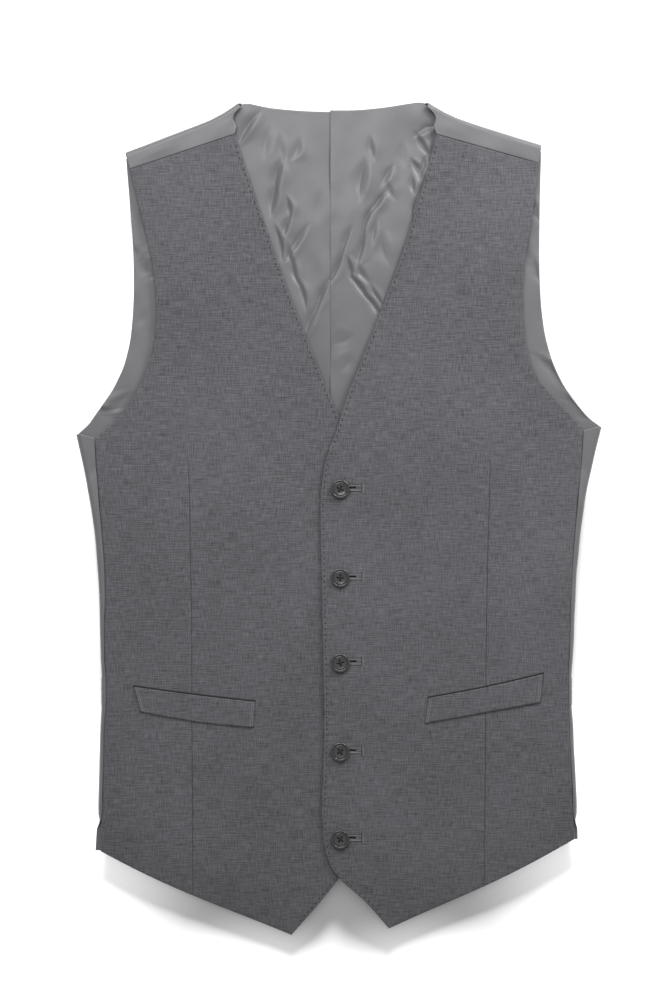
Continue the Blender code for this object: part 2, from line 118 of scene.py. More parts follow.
class Book:
    """The node tree of one material, and the ways to add to it."""

    def __init__(self, name: str) -> None:
        """Starts an empty tree.

        Args:
            name: The material's name.
        """
        self.material = bpy.data.materials.new(name)
        self.material.use_nodes = True
        self.tree = self.material.node_tree
        self.tree.nodes.clear()

    def node(self, kind: str, settings: dict | None = None, inputs: dict | None = None,
             output: int | str = 0) -> Socket:
        """Adds a node of any type.

        Args:
            kind: The node's type.
            settings: Its own settings, set first. "stops" gives a ramp's (place, grey) pairs.
            inputs: Values or links by socket name or number.
            output: Which output to return.

        Returns:
            The chosen output.
        """
        made = self.tree.nodes.new(kind)
        for name, value in (settings or {}).items():
            if name == "stops":
                self.set_stops(made.color_ramp, value)
            else:
                setattr(made, name, value)
        for key, value in (inputs or {}).items():
            if isinstance(value, Socket):
                self.tree.links.new(value.link, made.inputs[key])
            else:
                made.inputs[key].default_value = value
        return Socket(self, made.outputs[output])

    def set_stops(self, ramp: bpy.types.ColorRamp, stops: tuple) -> None:
        """Gives a colour ramp its (place, grey) stops."""
        while len(ramp.elements) < len(stops):
            ramp.elements.new(0.5)
        for element, (place, grey) in zip(ramp.elements, stops):
            element.position = place
            element.color = (grey, grey, grey, 1)

    def math(self, operation: str, first: "Socket | float", second: "Socket | float" = 0.0) -> Socket:
        """One Math node on two values."""
        return self.node("ShaderNodeMath", {"operation": operation}, {0: first, 1: second})

    def vector(self, operation: str, first: Socket, second: "Socket | tuple") -> Socket:
        """One Vector Math node on two vectors."""
        return self.node("ShaderNodeVectorMath", {"operation": operation}, {0: first, 1: second})

    def noise(self, place: Socket, scale: float, detail: float = 2.0,
              stretch: tuple = (1, 1, 1)) -> Socket:
        """Noise from 0 to 1.

        Args:
            place: The coordinates that it reads.
            scale: Waves per metre.
            detail: Octaves.
            stretch: Factors on each coordinate, below 1 for longer streaks.

        Returns:
            The noise's value.
        """
        stretched = self.vector("MULTIPLY", place, stretch)
        return self.node("ShaderNodeTexNoise", {"noise_dimensions": "3D"},
                         {"Vector": stretched, "Scale": scale, "Detail": detail, "Roughness": 0.55})

    def ramp(self, value: Socket, *stops: tuple) -> Socket:
        """A value sent through a grey ramp of (place, grey) stops."""
        return self.node("ShaderNodeValToRGB", {"stops": stops}, {"Fac": value})

    def mix(self, factor: "Socket | float", low: "Socket | tuple", high: "Socket | tuple") -> Socket:
        """A colour between two colours."""
        return self.node("ShaderNodeMix", {"data_type": "RGBA"}, {0: factor, 6: low, 7: high}, 2)

    def bump(self, height: Socket, distance: float, strength: float = 1.0) -> Socket:
        """A bump of a height from 0 to 1, distance metres high."""
        return self.node("ShaderNodeBump", {}, {"Height": height, "Distance": distance,
                                                "Strength": strength})

    def finish(self, inputs: dict) -> bpy.types.Material:
        """Joins a Principled shader to the output.

        Args:
            inputs: The shader's values or links by socket name.

        Returns:
            The finished material.
        """
        shader = self.node("ShaderNodeBsdfPrincipled", {}, inputs)
        end = self.tree.nodes.new("ShaderNodeOutputMaterial")
        self.tree.links.new(shader.link, end.inputs["Surface"])
        return self.material


def grey(value: float, cool: float = 0.0) -> tuple[float, float, float, float]:
    """A grey with a share of blue added, as a linear colour."""
    return (value, value * (1 - cool / 4), value * (1 + cool), 1.0)


# -------------------------------------------------------------------------------- finishes


@dataclass(frozen=True)
class WoolFinish:
    """Fine worsted suiting: a plain weave of uneven yarns, matt, with a short soft nap."""

    name: str = "wool_cloth"
    shade: float = 0.112
    cool: float = 0.075
    streak: float = 0.57  # how much lighter and darker the uneven yarns are
    yarn: float = 0.55  # millimetres from one yarn to the next
    roughness: float = 0.88
    slub_waves: float = 1250.0  # waves per metre across the uneven yarns
    fibre_waves: float = 1500.0
    patch_waves: float = 75.0
    cloud_waves: float = 9.0
    slub_share: float = 0.62  # of the whole pattern
    fibre_share: float = 0.15
    weave_share: float = 0.08
    contrast: float = 0.92
    patchiness: float = 0.5  # how much the patches add to the contrast
    cloudiness: float = 0.16

    def material(self) -> bpy.types.Material:
        """Builds the wool's nodes."""
        book = Book(self.name)
        place = book.node("ShaderNodeUVMap", {"uv_map": "cut"})
        slubs = 0.0
        for stretch, weight in (((1.0, 0.09, 1), 0.46), ((0.06, 1.0, 1), 0.54)):
            slubs = book.noise(place, self.slub_waves, 1.0, stretch) * weight + slubs
        fine_up = book.noise(place, self.fibre_waves, 1.0, (1.0, 0.12, 1))
        fine_over = book.noise(place, self.fibre_waves, 1.0, (0.12, 1.0, 1))
        patches = book.noise(place, self.patch_waves, 2.0)
        cloudy = book.noise(place, self.cloud_waves, 3.0)
        weave = self.weave(book, place)
        fibres = (fine_up + fine_over) * self.fibre_share
        pattern = slubs * self.slub_share + fibres + weave * self.weave_share
        pattern = (pattern - 0.5) * (self.contrast + patches * self.patchiness) + 0.5
        pattern = pattern + (cloudy - 0.5) * self.cloudiness
        spread = book.ramp(pattern, (0.30, 0.0), (0.70, 1.0))
        low = grey(self.shade * (1 - self.streak), self.cool)
        high = grey(self.shade * (1 + self.streak), self.cool)
        return book.finish({
            "Base Color": book.mix(spread, low, high),
            "Roughness": self.roughness,
            "Specular IOR Level": 0.22,
            "Sheen Weight": 0.10,
            "Sheen Roughness": 0.5,
            "Normal": book.bump(weave * 0.6 + slubs * 0.8, 0.00012, 0.8),
        })

    def weave(self, book: Book, place: Socket) -> Socket:
        """The over and under of the yarns, from 0 to 1."""
        parts = book.node("ShaderNodeSeparateXYZ", {}, {0: place})
        upward = Socket(book, parts.link.node.outputs[1])
        turn = math.tau / (self.yarn * MM)
        warp = book.math("SINE", parts * turn)
        weft = book.math("SINE", upward * turn)
        return warp * weft * 0.5 + 0.5


@dataclass(frozen=True)
class SatinFinish:
    """Satin lining cloth: smooth long floats that catch a soft light, faintly uneven."""

    name: str
    shade: float
    cool: float = 0.045
    roughness: float = 0.40
    grain: float = 0.05

    def material(self) -> bpy.types.Material:
        """Builds the satin's nodes."""
        book = Book(self.name)
        place = book.node("ShaderNodeUVMap", {"uv_map": "cut"})
        floats = book.noise(place, 2200.0, 1.0, (1.0, 0.10, 1))
        picks = book.noise(place, 1300.0, 1.0, (0.3, 1.0, 1))
        cloudy = book.noise(place, 14.0, 3.0)
        tone = floats * 0.4 + picks * 0.3 + cloudy * 0.3
        low = grey(self.shade * (1 - self.grain), self.cool)
        high = grey(self.shade * (1 + self.grain), self.cool)
        return book.finish({
            "Base Color": book.mix(book.ramp(tone, (0.3, 0.0), (0.7, 1.0)), low, high),
            "Roughness": self.roughness + (floats - 0.5) * 0.05,
            "Specular IOR Level": 0.42,
            "Sheen Weight": 0.08,
            "Normal": book.bump(floats * 0.6 + picks * 0.4, 0.00002, 0.3),
        })


@dataclass(frozen=True)
class ResinFinish:
    """Polished button resin: dark, glossy, with faint clouds and fine turning marks."""

    name: str = "button_resin_polished"
    shade: float = 0.042
    roughness: float = 0.22

    def material(self) -> bpy.types.Material:
        """Builds the resin's nodes."""
        book = Book(self.name)
        place = book.node("ShaderNodeTexCoord", {}, {}, "Object")
        clouds = book.noise(place, 420.0, 3.0)
        scratches = book.noise(place, 2600.0, 2.0, (1.0, 0.2, 1.0))
        colour = book.mix(clouds, grey(self.shade * 0.75, 0.06), grey(self.shade * 1.35, 0.04))
        return book.finish({
            "Base Color": colour,
            "Roughness": self.roughness + scratches * 0.10,
            "Coat Weight": 0.7,
            "Coat Roughness": 0.12,
            "Normal": book.bump(scratches, 0.00002, 0.5),
        })


@dataclass(frozen=True)
class ThreadFinish:
    """Sewing thread: twisted strands, matt with a slight lustre; its darkest kinds also paint shade.
    """

    name: str
    shade: float
    roughness: float = 0.62

    def material(self) -> bpy.types.Material:
        """Builds the thread's nodes."""
        book = Book(self.name)
        place = book.node("ShaderNodeTexCoord", {}, {}, "Object")
        twist = book.noise(place, 3200.0, 2.0, (1.0, 0.5, 1.0))
        colour = book.mix(twist, grey(self.shade * 0.7, 0.06), grey(self.shade * 1.3, 0.06))
        return book.finish({
            "Base Color": colour,
            "Roughness": self.roughness,
            "Normal": book.bump(twist, 0.00006, 0.8),
        })


@dataclass(frozen=True)
class MetalFinish:
    """Dark nickel plate, brushed and a little worn."""

    name: str = "slide_nickel"
    shade: float = 0.30

    def material(self) -> bpy.types.Material:
        """Builds the metal's nodes."""
        book = Book(self.name)
        place = book.node("ShaderNodeTexCoord", {}, {}, "Object")
        brushed = book.noise(place, 1400.0, 2.0, (0.06, 1.0, 1.0))
        wear = book.noise(place, 180.0, 3.0)
        return book.finish({
            "Base Color": book.mix(wear, grey(self.shade * 0.8), grey(self.shade * 1.2)),
            "Metallic": 1.0,
            "Roughness": 0.28 + brushed * 0.2,
            "Normal": book.bump(brushed, 0.00003, 0.5),
        })


# ------------------------------------------------------------------------- measuring, lines


def smooth(value: np.ndarray | float) -> np.ndarray:
    """0 below 0 and 1 above 1, with a soft rise between."""
    part = np.clip(value, 0.0, 1.0)
    return part * part * (3 - 2 * part)


def fade(value: np.ndarray | float, full: float, none: float) -> np.ndarray:
    """1 up to full, then smoothly down to 0 at none."""
    return smooth((none - value) / (none - full))


def along(line: np.ndarray, part: np.ndarray | float) -> np.ndarray:
    """Points of a line at shares of its length, from 0 to 1."""
    steps = np.linalg.norm(np.diff(line, axis=0), axis=1)
    place = np.concatenate([[0.0], np.cumsum(steps)])
    return np.stack([np.interp(np.asarray(part) * place[-1], place, line[:, k])
                     for k in range(line.shape[1])], axis=-1)


def length_of(line: np.ndarray) -> float:
    """A line's length."""
    return float(np.linalg.norm(np.diff(line, axis=0), axis=1).sum())


def eased(line: np.ndarray, step: float = 2.0, passes: int = 22) -> np.ndarray:
    """A line with its facets smoothed away and its ends kept.

    Args:
        line: The faceted line.
        step: Distance between the new points.
        passes: How often each point moves towards its neighbours.

    Returns:
        The smooth line.
    """
    count = max(4, round(length_of(line) / step))
    made = along(line, np.linspace(0, 1, count + 1))
    for _ in range(passes):
        made[1:-1] = (made[:-2] + 2 * made[1:-1] + made[2:]) / 4
    return made


def stations(length: float, step: float, zones: tuple = ()) -> np.ndarray:
    """Shares of a length for the rows of a grid, close together at both ends.

    Args:
        length: The length that is divided.
        step: Distance between rows.
        zones: (start, end, factor) shares in which the rows are that many times denser.

    Returns:
        Rising shares from 0 to 1.
    """
    near = np.array(RIM_STEPS) / length
    place = np.linspace(near[-1], 1 - near[-1], 4001)
    density = np.ones_like(place)
    for start, end, factor in zones:
        density += (factor - 1) * fade(np.abs(place - (start + end) / 2), (end - start) / 2,
                                       (end - start) * 0.75)
    total = np.concatenate([[0.0], np.cumsum((density[1:] + density[:-1]) / 2 * np.diff(place))])
    count = max(2, round(total[-1] * length / step))
    inside = np.interp(np.linspace(0, total[-1], count + 1)[1:-1], total, place)
    return np.concatenate([near, inside, 1 - near[::-1]])


def patch(inner: np.ndarray, outer: np.ndarray, low: np.ndarray, high: np.ndarray,
          u: np.ndarray, v: np.ndarray) -> np.ndarray:
    """A grid of points between four edges.

    Args:
        inner: The first column's points, from low to high.
        outer: The last column's points.
        low: The first row's points, from inner to outer.
        high: The last row's points.
        u: Share of each column across the grid.
        v: Share of each row up the grid.

    Returns:
        Points as rows, columns and coordinates.
    """
    u, v = u[None, :, None], v[:, None, None]
    ruled = (1 - u) * inner[:, None] + u * outer[:, None] + (1 - v) * low[None] + v * high[None]
    corners = ((1 - u) * (1 - v) * low[0] + u * (1 - v) * low[-1]
               + (1 - u) * v * high[0] + u * v * high[-1])
    return ruled - corners


def level(values: np.ndarray, last: float) -> np.ndarray:
    """Points that all have the same last coordinate."""
    return np.column_stack([values, np.full(len(values), last)])


def raised(places: np.ndarray, heights: np.ndarray) -> np.ndarray:
    """A grid of (out, y) with each place's height added."""
    return np.concatenate([places, heights[..., None]], axis=-1)


def filled(heights: np.ndarray) -> np.ndarray:
    """A grid of heights with its empty places filled from their neighbours."""
    made = heights.copy()
    while np.isnan(made).any():
        padded = np.pad(made, 1, constant_values=np.nan)
        around = np.stack([padded[:-2, 1:-1], padded[2:, 1:-1], padded[1:-1, :-2], padded[1:-1, 2:]])
        known = ~np.isnan(around)
        total = np.where(known, around, 0).sum(axis=0) / np.maximum(known.sum(axis=0), 1)
        fill = np.isnan(made) & known.any(axis=0)
        made[fill] = total[fill]
    return made


def relaxed(heights: np.ndarray, passes: int) -> np.ndarray:
    """A grid of heights with its facets smoothed away."""
    made = heights.copy()
    for _ in range(passes):
        padded = np.pad(made, 1, mode="reflect", reflect_type="odd")
        made = (padded[:-2, 1:-1] + padded[2:, 1:-1] + padded[1:-1, :-2] + padded[1:-1, 2:]
                + 4 * padded[1:-1, 1:-1]) / 8
    return made


class Solid:
    """A mesh to be measured, with its out axis turned towards one side."""

    def __init__(self, mesh: bpy.types.Mesh, side: int = 1) -> None:
        """Reads the mesh.

        Args:
            mesh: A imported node's mesh, or a finished piece's.
            side: 1 for the wearer's left, -1 for the right.
        """
        mesh.calc_loop_triangles()
        points = np.empty(len(mesh.vertices) * 3)
        mesh.vertices.foreach_get("co", points)
        self.points = points.reshape(-1, 3) / MM * (side, 1, 1)
        faces = np.empty(len(mesh.loop_triangles) * 3, np.int32)
        mesh.loop_triangles.foreach_get("vertices", faces)
        self.faces = faces.reshape(-1, 3)
        self.tree = BVHTree.FromPolygons(self.points.tolist(), self.faces.tolist())
        self.low, self.high = self.points.min(axis=0), self.points.max(axis=0)

    def corner(self, out: float, up: float) -> np.ndarray:
        """The (out, y) of the point that lies farthest in a direction."""
        return self.points[np.argmax(self.points[:, 0] * out + self.points[:, 1] * up), :2]

    def reach(self, axis: int, places: np.ndarray, sign: int = 1) -> np.ndarray:
        """How far the mesh reaches in slices across it.

        Args:
            axis: 0 to slice at values of out, 1 to slice at values of y.
            places: Where the slices are.
            sign: 1 for the farthest point of each slice, -1 for the nearest.

        Returns:
            The other coordinate of that point in each slice.
        """
        corners = self.points[self.faces]
        ends = np.concatenate([corners[:, [0, 1]], corners[:, [1, 2]], corners[:, [2, 0]]])
        start, end = ends[:, 0, axis], ends[:, 1, axis]
        found = []
        for place in places:
            crossing = (start <= place) != (end <= place)
            share = (place - start[crossing]) / (end[crossing] - start[crossing])
            other = ends[crossing][:, :, 1 - axis]
            found.append((sign * (other[:, 0] + share * (other[:, 1] - other[:, 0]))).max() * sign)
        return np.array(found)

    def height(self, places: np.ndarray, below: bool = False) -> np.ndarray:
        """Height of the top, or of the underside, at each (out, y), with NaN where it is open."""
        start, way = (-50.0, 1.0) if below else (50.0, -1.0)
        flat = places.reshape(-1, places.shape[-1])
        found = np.full(len(flat), np.nan)
        for k, place in enumerate(flat):
            hit = self.tree.ray_cast(Vector((place[0], place[1], start)), Vector((0, 0, way)))[0]
            if hit:
                found[k] = hit.z
        return found.reshape(places.shape[:-1])

    def underside(self, places: np.ndarray) -> np.ndarray:
        """Height of the underside at each (out, y), with 0 where it is open."""
        return np.nan_to_num(self.height(places, below=True))

    def lifted(self, places: np.ndarray, above: float, beside: float = 0.0) -> np.ndarray:
        """Places lifted onto the mesh, without those that miss it.

        Args:
            places: Points of (x, y).
            above: How far above the mesh they are put.
            beside: How far towards +X of each place the height is read.

        Returns:
            Points of (x, y, z).
        """
        heights = self.height(places + (beside, 0))
        keep = np.isfinite(heights)
        return np.column_stack([places[keep], heights[keep] + above])


def neck_rise(out: np.ndarray, tip: float, least: float = 1.1, more: float = 4.2,
              spread: float = 16.0) -> np.ndarray:
    """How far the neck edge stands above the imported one, most at the shoulder's tip.

    Args:
        out: Places along the edge.
        tip: How far out the shoulder's tip is.
        least: The rise along the whole edge.
        more: What the tip adds to it.
        spread: How far from the tip that reaches.

    Returns:
        The rise at each place.
    """
    return (least + more * np.exp(-((tip - out) / spread) ** 2)) * fade(out, tip - 1, tip + 7)


def solid_of(node: str, side: int = 1) -> Solid:
    """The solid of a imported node."""
    return Solid(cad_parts[node].data, side)


# --------------------------------------------------------------------------- making pieces


def shell(name: str, middle: np.ndarray, wall: float, cut: np.ndarray, side: int) -> bpy.types.Mesh:
    """A closed cloth wall with rounded edges.

    Args:
        name: The mesh's name.
        middle: Grid of (out, y, z) at the middle of the wall, with NaN where there is no cloth.
        wall: Thickness.
        cut: Grid of each point's place on the flat cut cloth.
        side: 1 for the wearer's left, -1 for the right.

    Returns:
        The mesh, with the cut as its UV map.
    """
    middle = middle * (side, 1, 1)
    whole = np.isfinite(middle[..., 0])
    quads = whole[:-1, :-1] & whole[1:, :-1] & whole[:-1, 1:] & whole[1:, 1:]
    facing = np.cross(middle[1:, 1:] - middle[:-1, :-1], middle[1:, :-1] - middle[:-1, 1:])
    facing = np.where(quads[..., None], facing, 0.0)
    normal, around = np.zeros_like(middle), np.zeros(whole.shape, int)
    for rows, columns in ((slice(0, -1), slice(0, -1)), (slice(0, -1), slice(1, None)),
                          (slice(1, None), slice(0, -1)), (slice(1, None), slice(1, None))):
        normal[rows, columns] += facing
        around[rows, columns] += quads
    normal /= np.maximum(np.linalg.norm(normal, axis=-1, keepdims=True), 1e-12)
    used, inside = around > 0, around == 4
    rim = middle[used & ~inside]
    tree = KDTree(len(rim))
    for k, point in enumerate(rim):
        tree.insert(point, k)
    tree.balance()
    share = np.zeros(whole.shape)
    for place in zip(*np.nonzero(inside)):
        share[place] = min(tree.find(middle[place])[2] / (wall / 2), 1.0)
    half = normal * (wall / 2 * np.sqrt(1 - (1 - share) ** 2))[..., None]
    top_index = np.full(whole.shape, -1)
    top_index[used] = np.arange(used.sum())
    low_index = top_index.copy()
    low_index[inside] = used.sum() + np.arange(inside.sum())
    points = np.concatenate([(middle + half)[used], (middle - half)[inside]]) * MM
    places = np.concatenate([cut[used], cut[inside]]) * MM
    rounds = []
    for index, order in ((top_index, (0, 1, 3, 2)), (low_index, (0, 2, 3, 1))):
        corners = [index[:-1, :-1], index[:-1, 1:], index[1:, :-1], index[1:, 1:]]
        rounds.append(np.stack([corners[k][quads] for k in order], axis=-1))
    faces = np.concatenate(rounds)
    return plain_mesh(name, points, faces, places)


def plain_mesh(name: str, points: np.ndarray, faces: np.ndarray,
               places: np.ndarray | None = None) -> bpy.types.Mesh:
    """A smooth-shaded mesh of equal-sided faces.

    Args:
        name: The mesh's name.
        points: Its points, in metres.
        faces: Rows of point numbers.
        places: Each point's place on the cut cloth, in metres.

    Returns:
        The mesh.
    """
    mesh = bpy.data.meshes.new(name)
    mesh.from_pydata(points.tolist(), [], faces.tolist())
    mesh.shade_smooth()
    if places is not None:
        layer = mesh.uv_layers.new(name="cut")
        layer.data.foreach_set("uv", places[faces.ravel()].astype(np.float32).ravel())
    mesh.update()
    return mesh


def added(name: str, data: bpy.types.ID) -> bpy.types.Object:
    """A new object in the scene."""
    made = bpy.data.objects.new(name, data)
    bpy.context.scene.collection.objects.link(made)
    return made


def settled(maker: bpy.types.Object) -> bpy.types.Mesh:
    """The plain mesh that an object's modifiers make."""
    bpy.context.view_layer.update()
    graph = bpy.context.evaluated_depsgraph_get()
    return bpy.data.meshes.new_from_object(maker.evaluated_get(graph))


def piece(name: str, mesh: bpy.types.Mesh, material: bpy.types.Material, slot: Cloth,
          *nodes: str) -> bpy.types.Object:
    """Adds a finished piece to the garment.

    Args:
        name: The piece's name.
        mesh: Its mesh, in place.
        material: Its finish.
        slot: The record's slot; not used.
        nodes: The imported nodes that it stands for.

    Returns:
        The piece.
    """
    mesh.materials.clear()
    mesh.materials.append(material)
    made = added(name, mesh)
    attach(made, BODY)
    if nodes:
        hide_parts(*nodes)
    log.info("%s: %d faces", name, len(mesh.polygons))
    return made


@dataclass(frozen=True)
class Crease:
    """A soft ridge or trough of cloth between two places, bowed to one side."""

    x0: float
    y0: float
    x1: float
    y1: float
    width: float
    height: float
    bow: float = 0.0
    bank: float = 0.0  # height of a bank along its right side, the other way up, as a share

    def heights(self, x: np.ndarray, y: np.ndarray) -> np.ndarray:
        """How far it lifts the cloth at each place."""
        run = np.array((self.x1 - self.x0, self.y1 - self.y0))
        length = float(np.hypot(*run))
        ahead = ((x - self.x0) * run[0] + (y - self.y0) * run[1]) / length ** 2
        across = ((x - self.x0) * run[1] - (y - self.y0) * run[0]) / length
        across = across - self.bow * np.sin(np.pi * np.clip(ahead, 0, 1))
        taper = np.sin(np.pi * np.clip((ahead + RUN_OUT) / (1 + 2 * RUN_OUT), 0, 1)) ** 1.5
        width = self.width * (END_WIDTH + (1 - END_WIDTH) * taper)
        bank = self.bank * self.profile((across + BANK_OFF * width) / (BANK_WIDTH * width))
        return self.height * taper * (self.profile(across / width) - bank)

    def profile(self, off: np.ndarray) -> np.ndarray:
        """A soft crest at 0 with hollow sides, which ends a few widths away."""
        crest = np.sqrt(off ** 2 + ROUNDNESS) - math.sqrt(ROUNDNESS)
        return np.exp(-1.25 * crest) * fade(np.abs(off), 1.2, 3.2)


def fold(x0: float, y0: float, x1: float, y1: float, width: float, height: float,
         bow: float = 0.0) -> Crease:
    """A sharp fold of thin cloth: a narrow groove with a raised bank along its right side.

    Args:
        x0: Where it starts, across.
        y0: Where it starts, up.
        x1: Where it ends, across.
        y1: Where it ends, up.
        width: Width of the whole fold.
        height: Height of the bank, about half of the groove's depth.
        bow: How far its middle is bowed to its right.

    Returns:
        The crease that makes it.
    """
    return Crease(x0, y0, x1, y1, 0.8 * width, -2.1 * height, bow, bank=0.55)


def creased(creases: tuple, x: np.ndarray, y: np.ndarray) -> np.ndarray:
    """The sum of several creases."""
    total = np.zeros_like(x)
    for crease in creases:
        total += crease.heights(x, y)
    return total


def ripples(x: np.ndarray, y: np.ndarray, size: float, height: float, seed: int) -> np.ndarray:
    """Slow uneven waves of the cloth, the same each time.

    Args:
        x: Places across.
        y: Places up.
        size: Length of a typical wave.
        height: Its height.
        seed: Number that picks one set of waves.

    Returns:
        How far the waves lift each place.
    """
    picked = np.random.default_rng(seed)
    total = np.zeros_like(x)
    for _ in range(WAVES):
        turn, start = picked.uniform(0, math.tau, 2)
        wave = size * picked.uniform(0.7, 1.6)
        total += np.sin((x * math.cos(turn) + y * math.sin(turn)) * math.tau / wave + start)
    return total * height / 4


# -------------------------------------------------------------------------------- stitches


class StitchRow:
    """Geometry Nodes that sew a row of thread stitches along a path."""

    def __init__(self) -> None:
        """Builds the tree once, with its sizes as named inputs."""
        self.tree = bpy.data.node_groups.new("stitch_row", "GeometryNodeTree")
        self.sockets = {}
        self.add_socket("Geometry", "NodeSocketGeometry")
        for name, value in (("Spacing", 0.003), ("Length", 0.001), ("Width", 0.0004),
                            ("Rise", 0.0003), ("Turn", 0.0), ("Unevenness", 0.1)):
            self.add_socket(name, "NodeSocketFloat", value)
        self.add_socket("Material", "NodeSocketMaterial")
        self.tree.interface.new_socket("Geometry", in_out="OUTPUT",
                                       socket_type="NodeSocketGeometry")
        self.build()

    def add_socket(self, name: str, kind: str, value: float | None = None) -> None:
        """Adds a named input and keeps its identifier."""
        made = self.tree.interface.new_socket(name, in_out="INPUT", socket_type=kind)
        if value is not None:
            made.default_value = value
        self.sockets[name] = made.identifier

    def node(self, kind: str, settings: dict | None = None, inputs: dict | None = None,
             ) -> bpy.types.Node:
        """Adds a node with its settings, then its values or links by socket name or number."""
        made = self.tree.nodes.new(kind)
        for name, value in (settings or {}).items():
            setattr(made, name, value)
        for key, value in (inputs or {}).items():
            if isinstance(value, bpy.types.NodeSocket):
                self.tree.links.new(value, made.inputs[key])
            else:
                made.inputs[key].default_value = value
        return made

    def build(self) -> None:
        """Lays a stitch at each step of the path, turned to it, and makes it real."""
        given = self.node("NodeGroupInput").outputs
        curve = self.node("GeometryNodeMeshToCurve", {}, {"Mesh": given["Geometry"]})
        steps = self.node("GeometryNodeResampleCurve", {"mode": "LENGTH"},
                          {"Curve": curve.outputs[0], "Length": given["Spacing"]})
        tangent = self.node("GeometryNodeInputTangent")
        aligned = self.node("FunctionNodeAlignRotationToVector", {"axis": "X"},
                            {"Vector": tangent.outputs[0]})
        turned = self.node("ShaderNodeCombineXYZ", {}, {"Z": given["Turn"]})
        rotation = self.node("FunctionNodeRotateRotation", {"rotation_space": "LOCAL"},
                             {0: aligned.outputs[0], 1: turned.outputs[0]})
        least = self.node("ShaderNodeMath", {"operation": "SUBTRACT"},
                          {0: 1.0, 1: given["Unevenness"]})
        most = self.node("ShaderNodeMath", {"operation": "ADD"},
                         {0: 1.0, 1: given["Unevenness"]})
        uneven = self.node("FunctionNodeRandomValue", {"data_type": "FLOAT"},
                           {2: least.outputs[0], 3: most.outputs[0], "Seed": 5})
        size = self.node("ShaderNodeCombineXYZ", {}, {"X": given["Length"], "Y": given["Width"],
                                                      "Z": given["Rise"]})
        scale = self.node("ShaderNodeVectorMath", {"operation": "SCALE"},
                          {0: size.outputs[0], "Scale": uneven.outputs[1]})
        strand = self.node("GeometryNodeMeshUVSphere", {},
                           {"Segments": 8, "Rings": 5, "Radius": 0.5})
        laid = self.node("GeometryNodeInstanceOnPoints", {},
                         {"Points": steps.outputs[0], "Instance": strand.outputs[0],
                          "Rotation": rotation.outputs[0], "Scale": scale.outputs[0]})
        real = self.node("GeometryNodeRealizeInstances", {}, {0: laid.outputs[0]})
        soft = self.node("GeometryNodeSetShadeSmooth", {}, {0: real.outputs[0]})
        dressed = self.node("GeometryNodeSetMaterial", {},
                            {0: soft.outputs[0], "Material": given["Material"]})
        self.node("NodeGroupOutput", {}, {0: dressed.outputs[0]})

    def sew(self, name: str, paths: list, material: bpy.types.Material, slot: Cloth,
            spacing: float, length: float, width: float, rise: float, turn: float = 0.0,
            ) -> bpy.types.Object:
        """Sews stitches along paths and adds them as one piece.

        Args:
            name: The piece's name.
            paths: Lines of (x, y, z) points.
            material: The thread's finish.
            slot: The record's slot.
            spacing: Distance from stitch to stitch.
            length: A stitch's length.
            width: Its width.
            rise: Its height.
            turn: Degrees from the path to the stitch.

        Returns:
            The piece.
        """
        points, edges = [], []
        for path in paths:
            edges += [(len(points) + k, len(points) + k + 1) for k in range(len(path) - 1)]
            points += [tuple(point) for point in np.asarray(path) * MM]
        guide = bpy.data.meshes.new(name + "_path")
        guide.from_pydata(points, edges, [])
        helper = added(name + "_path", guide)
        nodes = helper.modifiers.new("stitches", "NODES")
        nodes.node_group = self.tree
        values = {"Spacing": spacing * MM, "Length": length * MM, "Width": width * MM,
                  "Rise": rise * MM, "Turn": math.radians(turn), "Material": material}
        for key, value in values.items():
            nodes[self.sockets[key]] = value
        mesh = settled(helper)
        mesh.name = name
        bpy.data.objects.remove(helper)
        return piece(name, mesh, material, slot)


# ------------------------------------------------------------------------------ the fronts


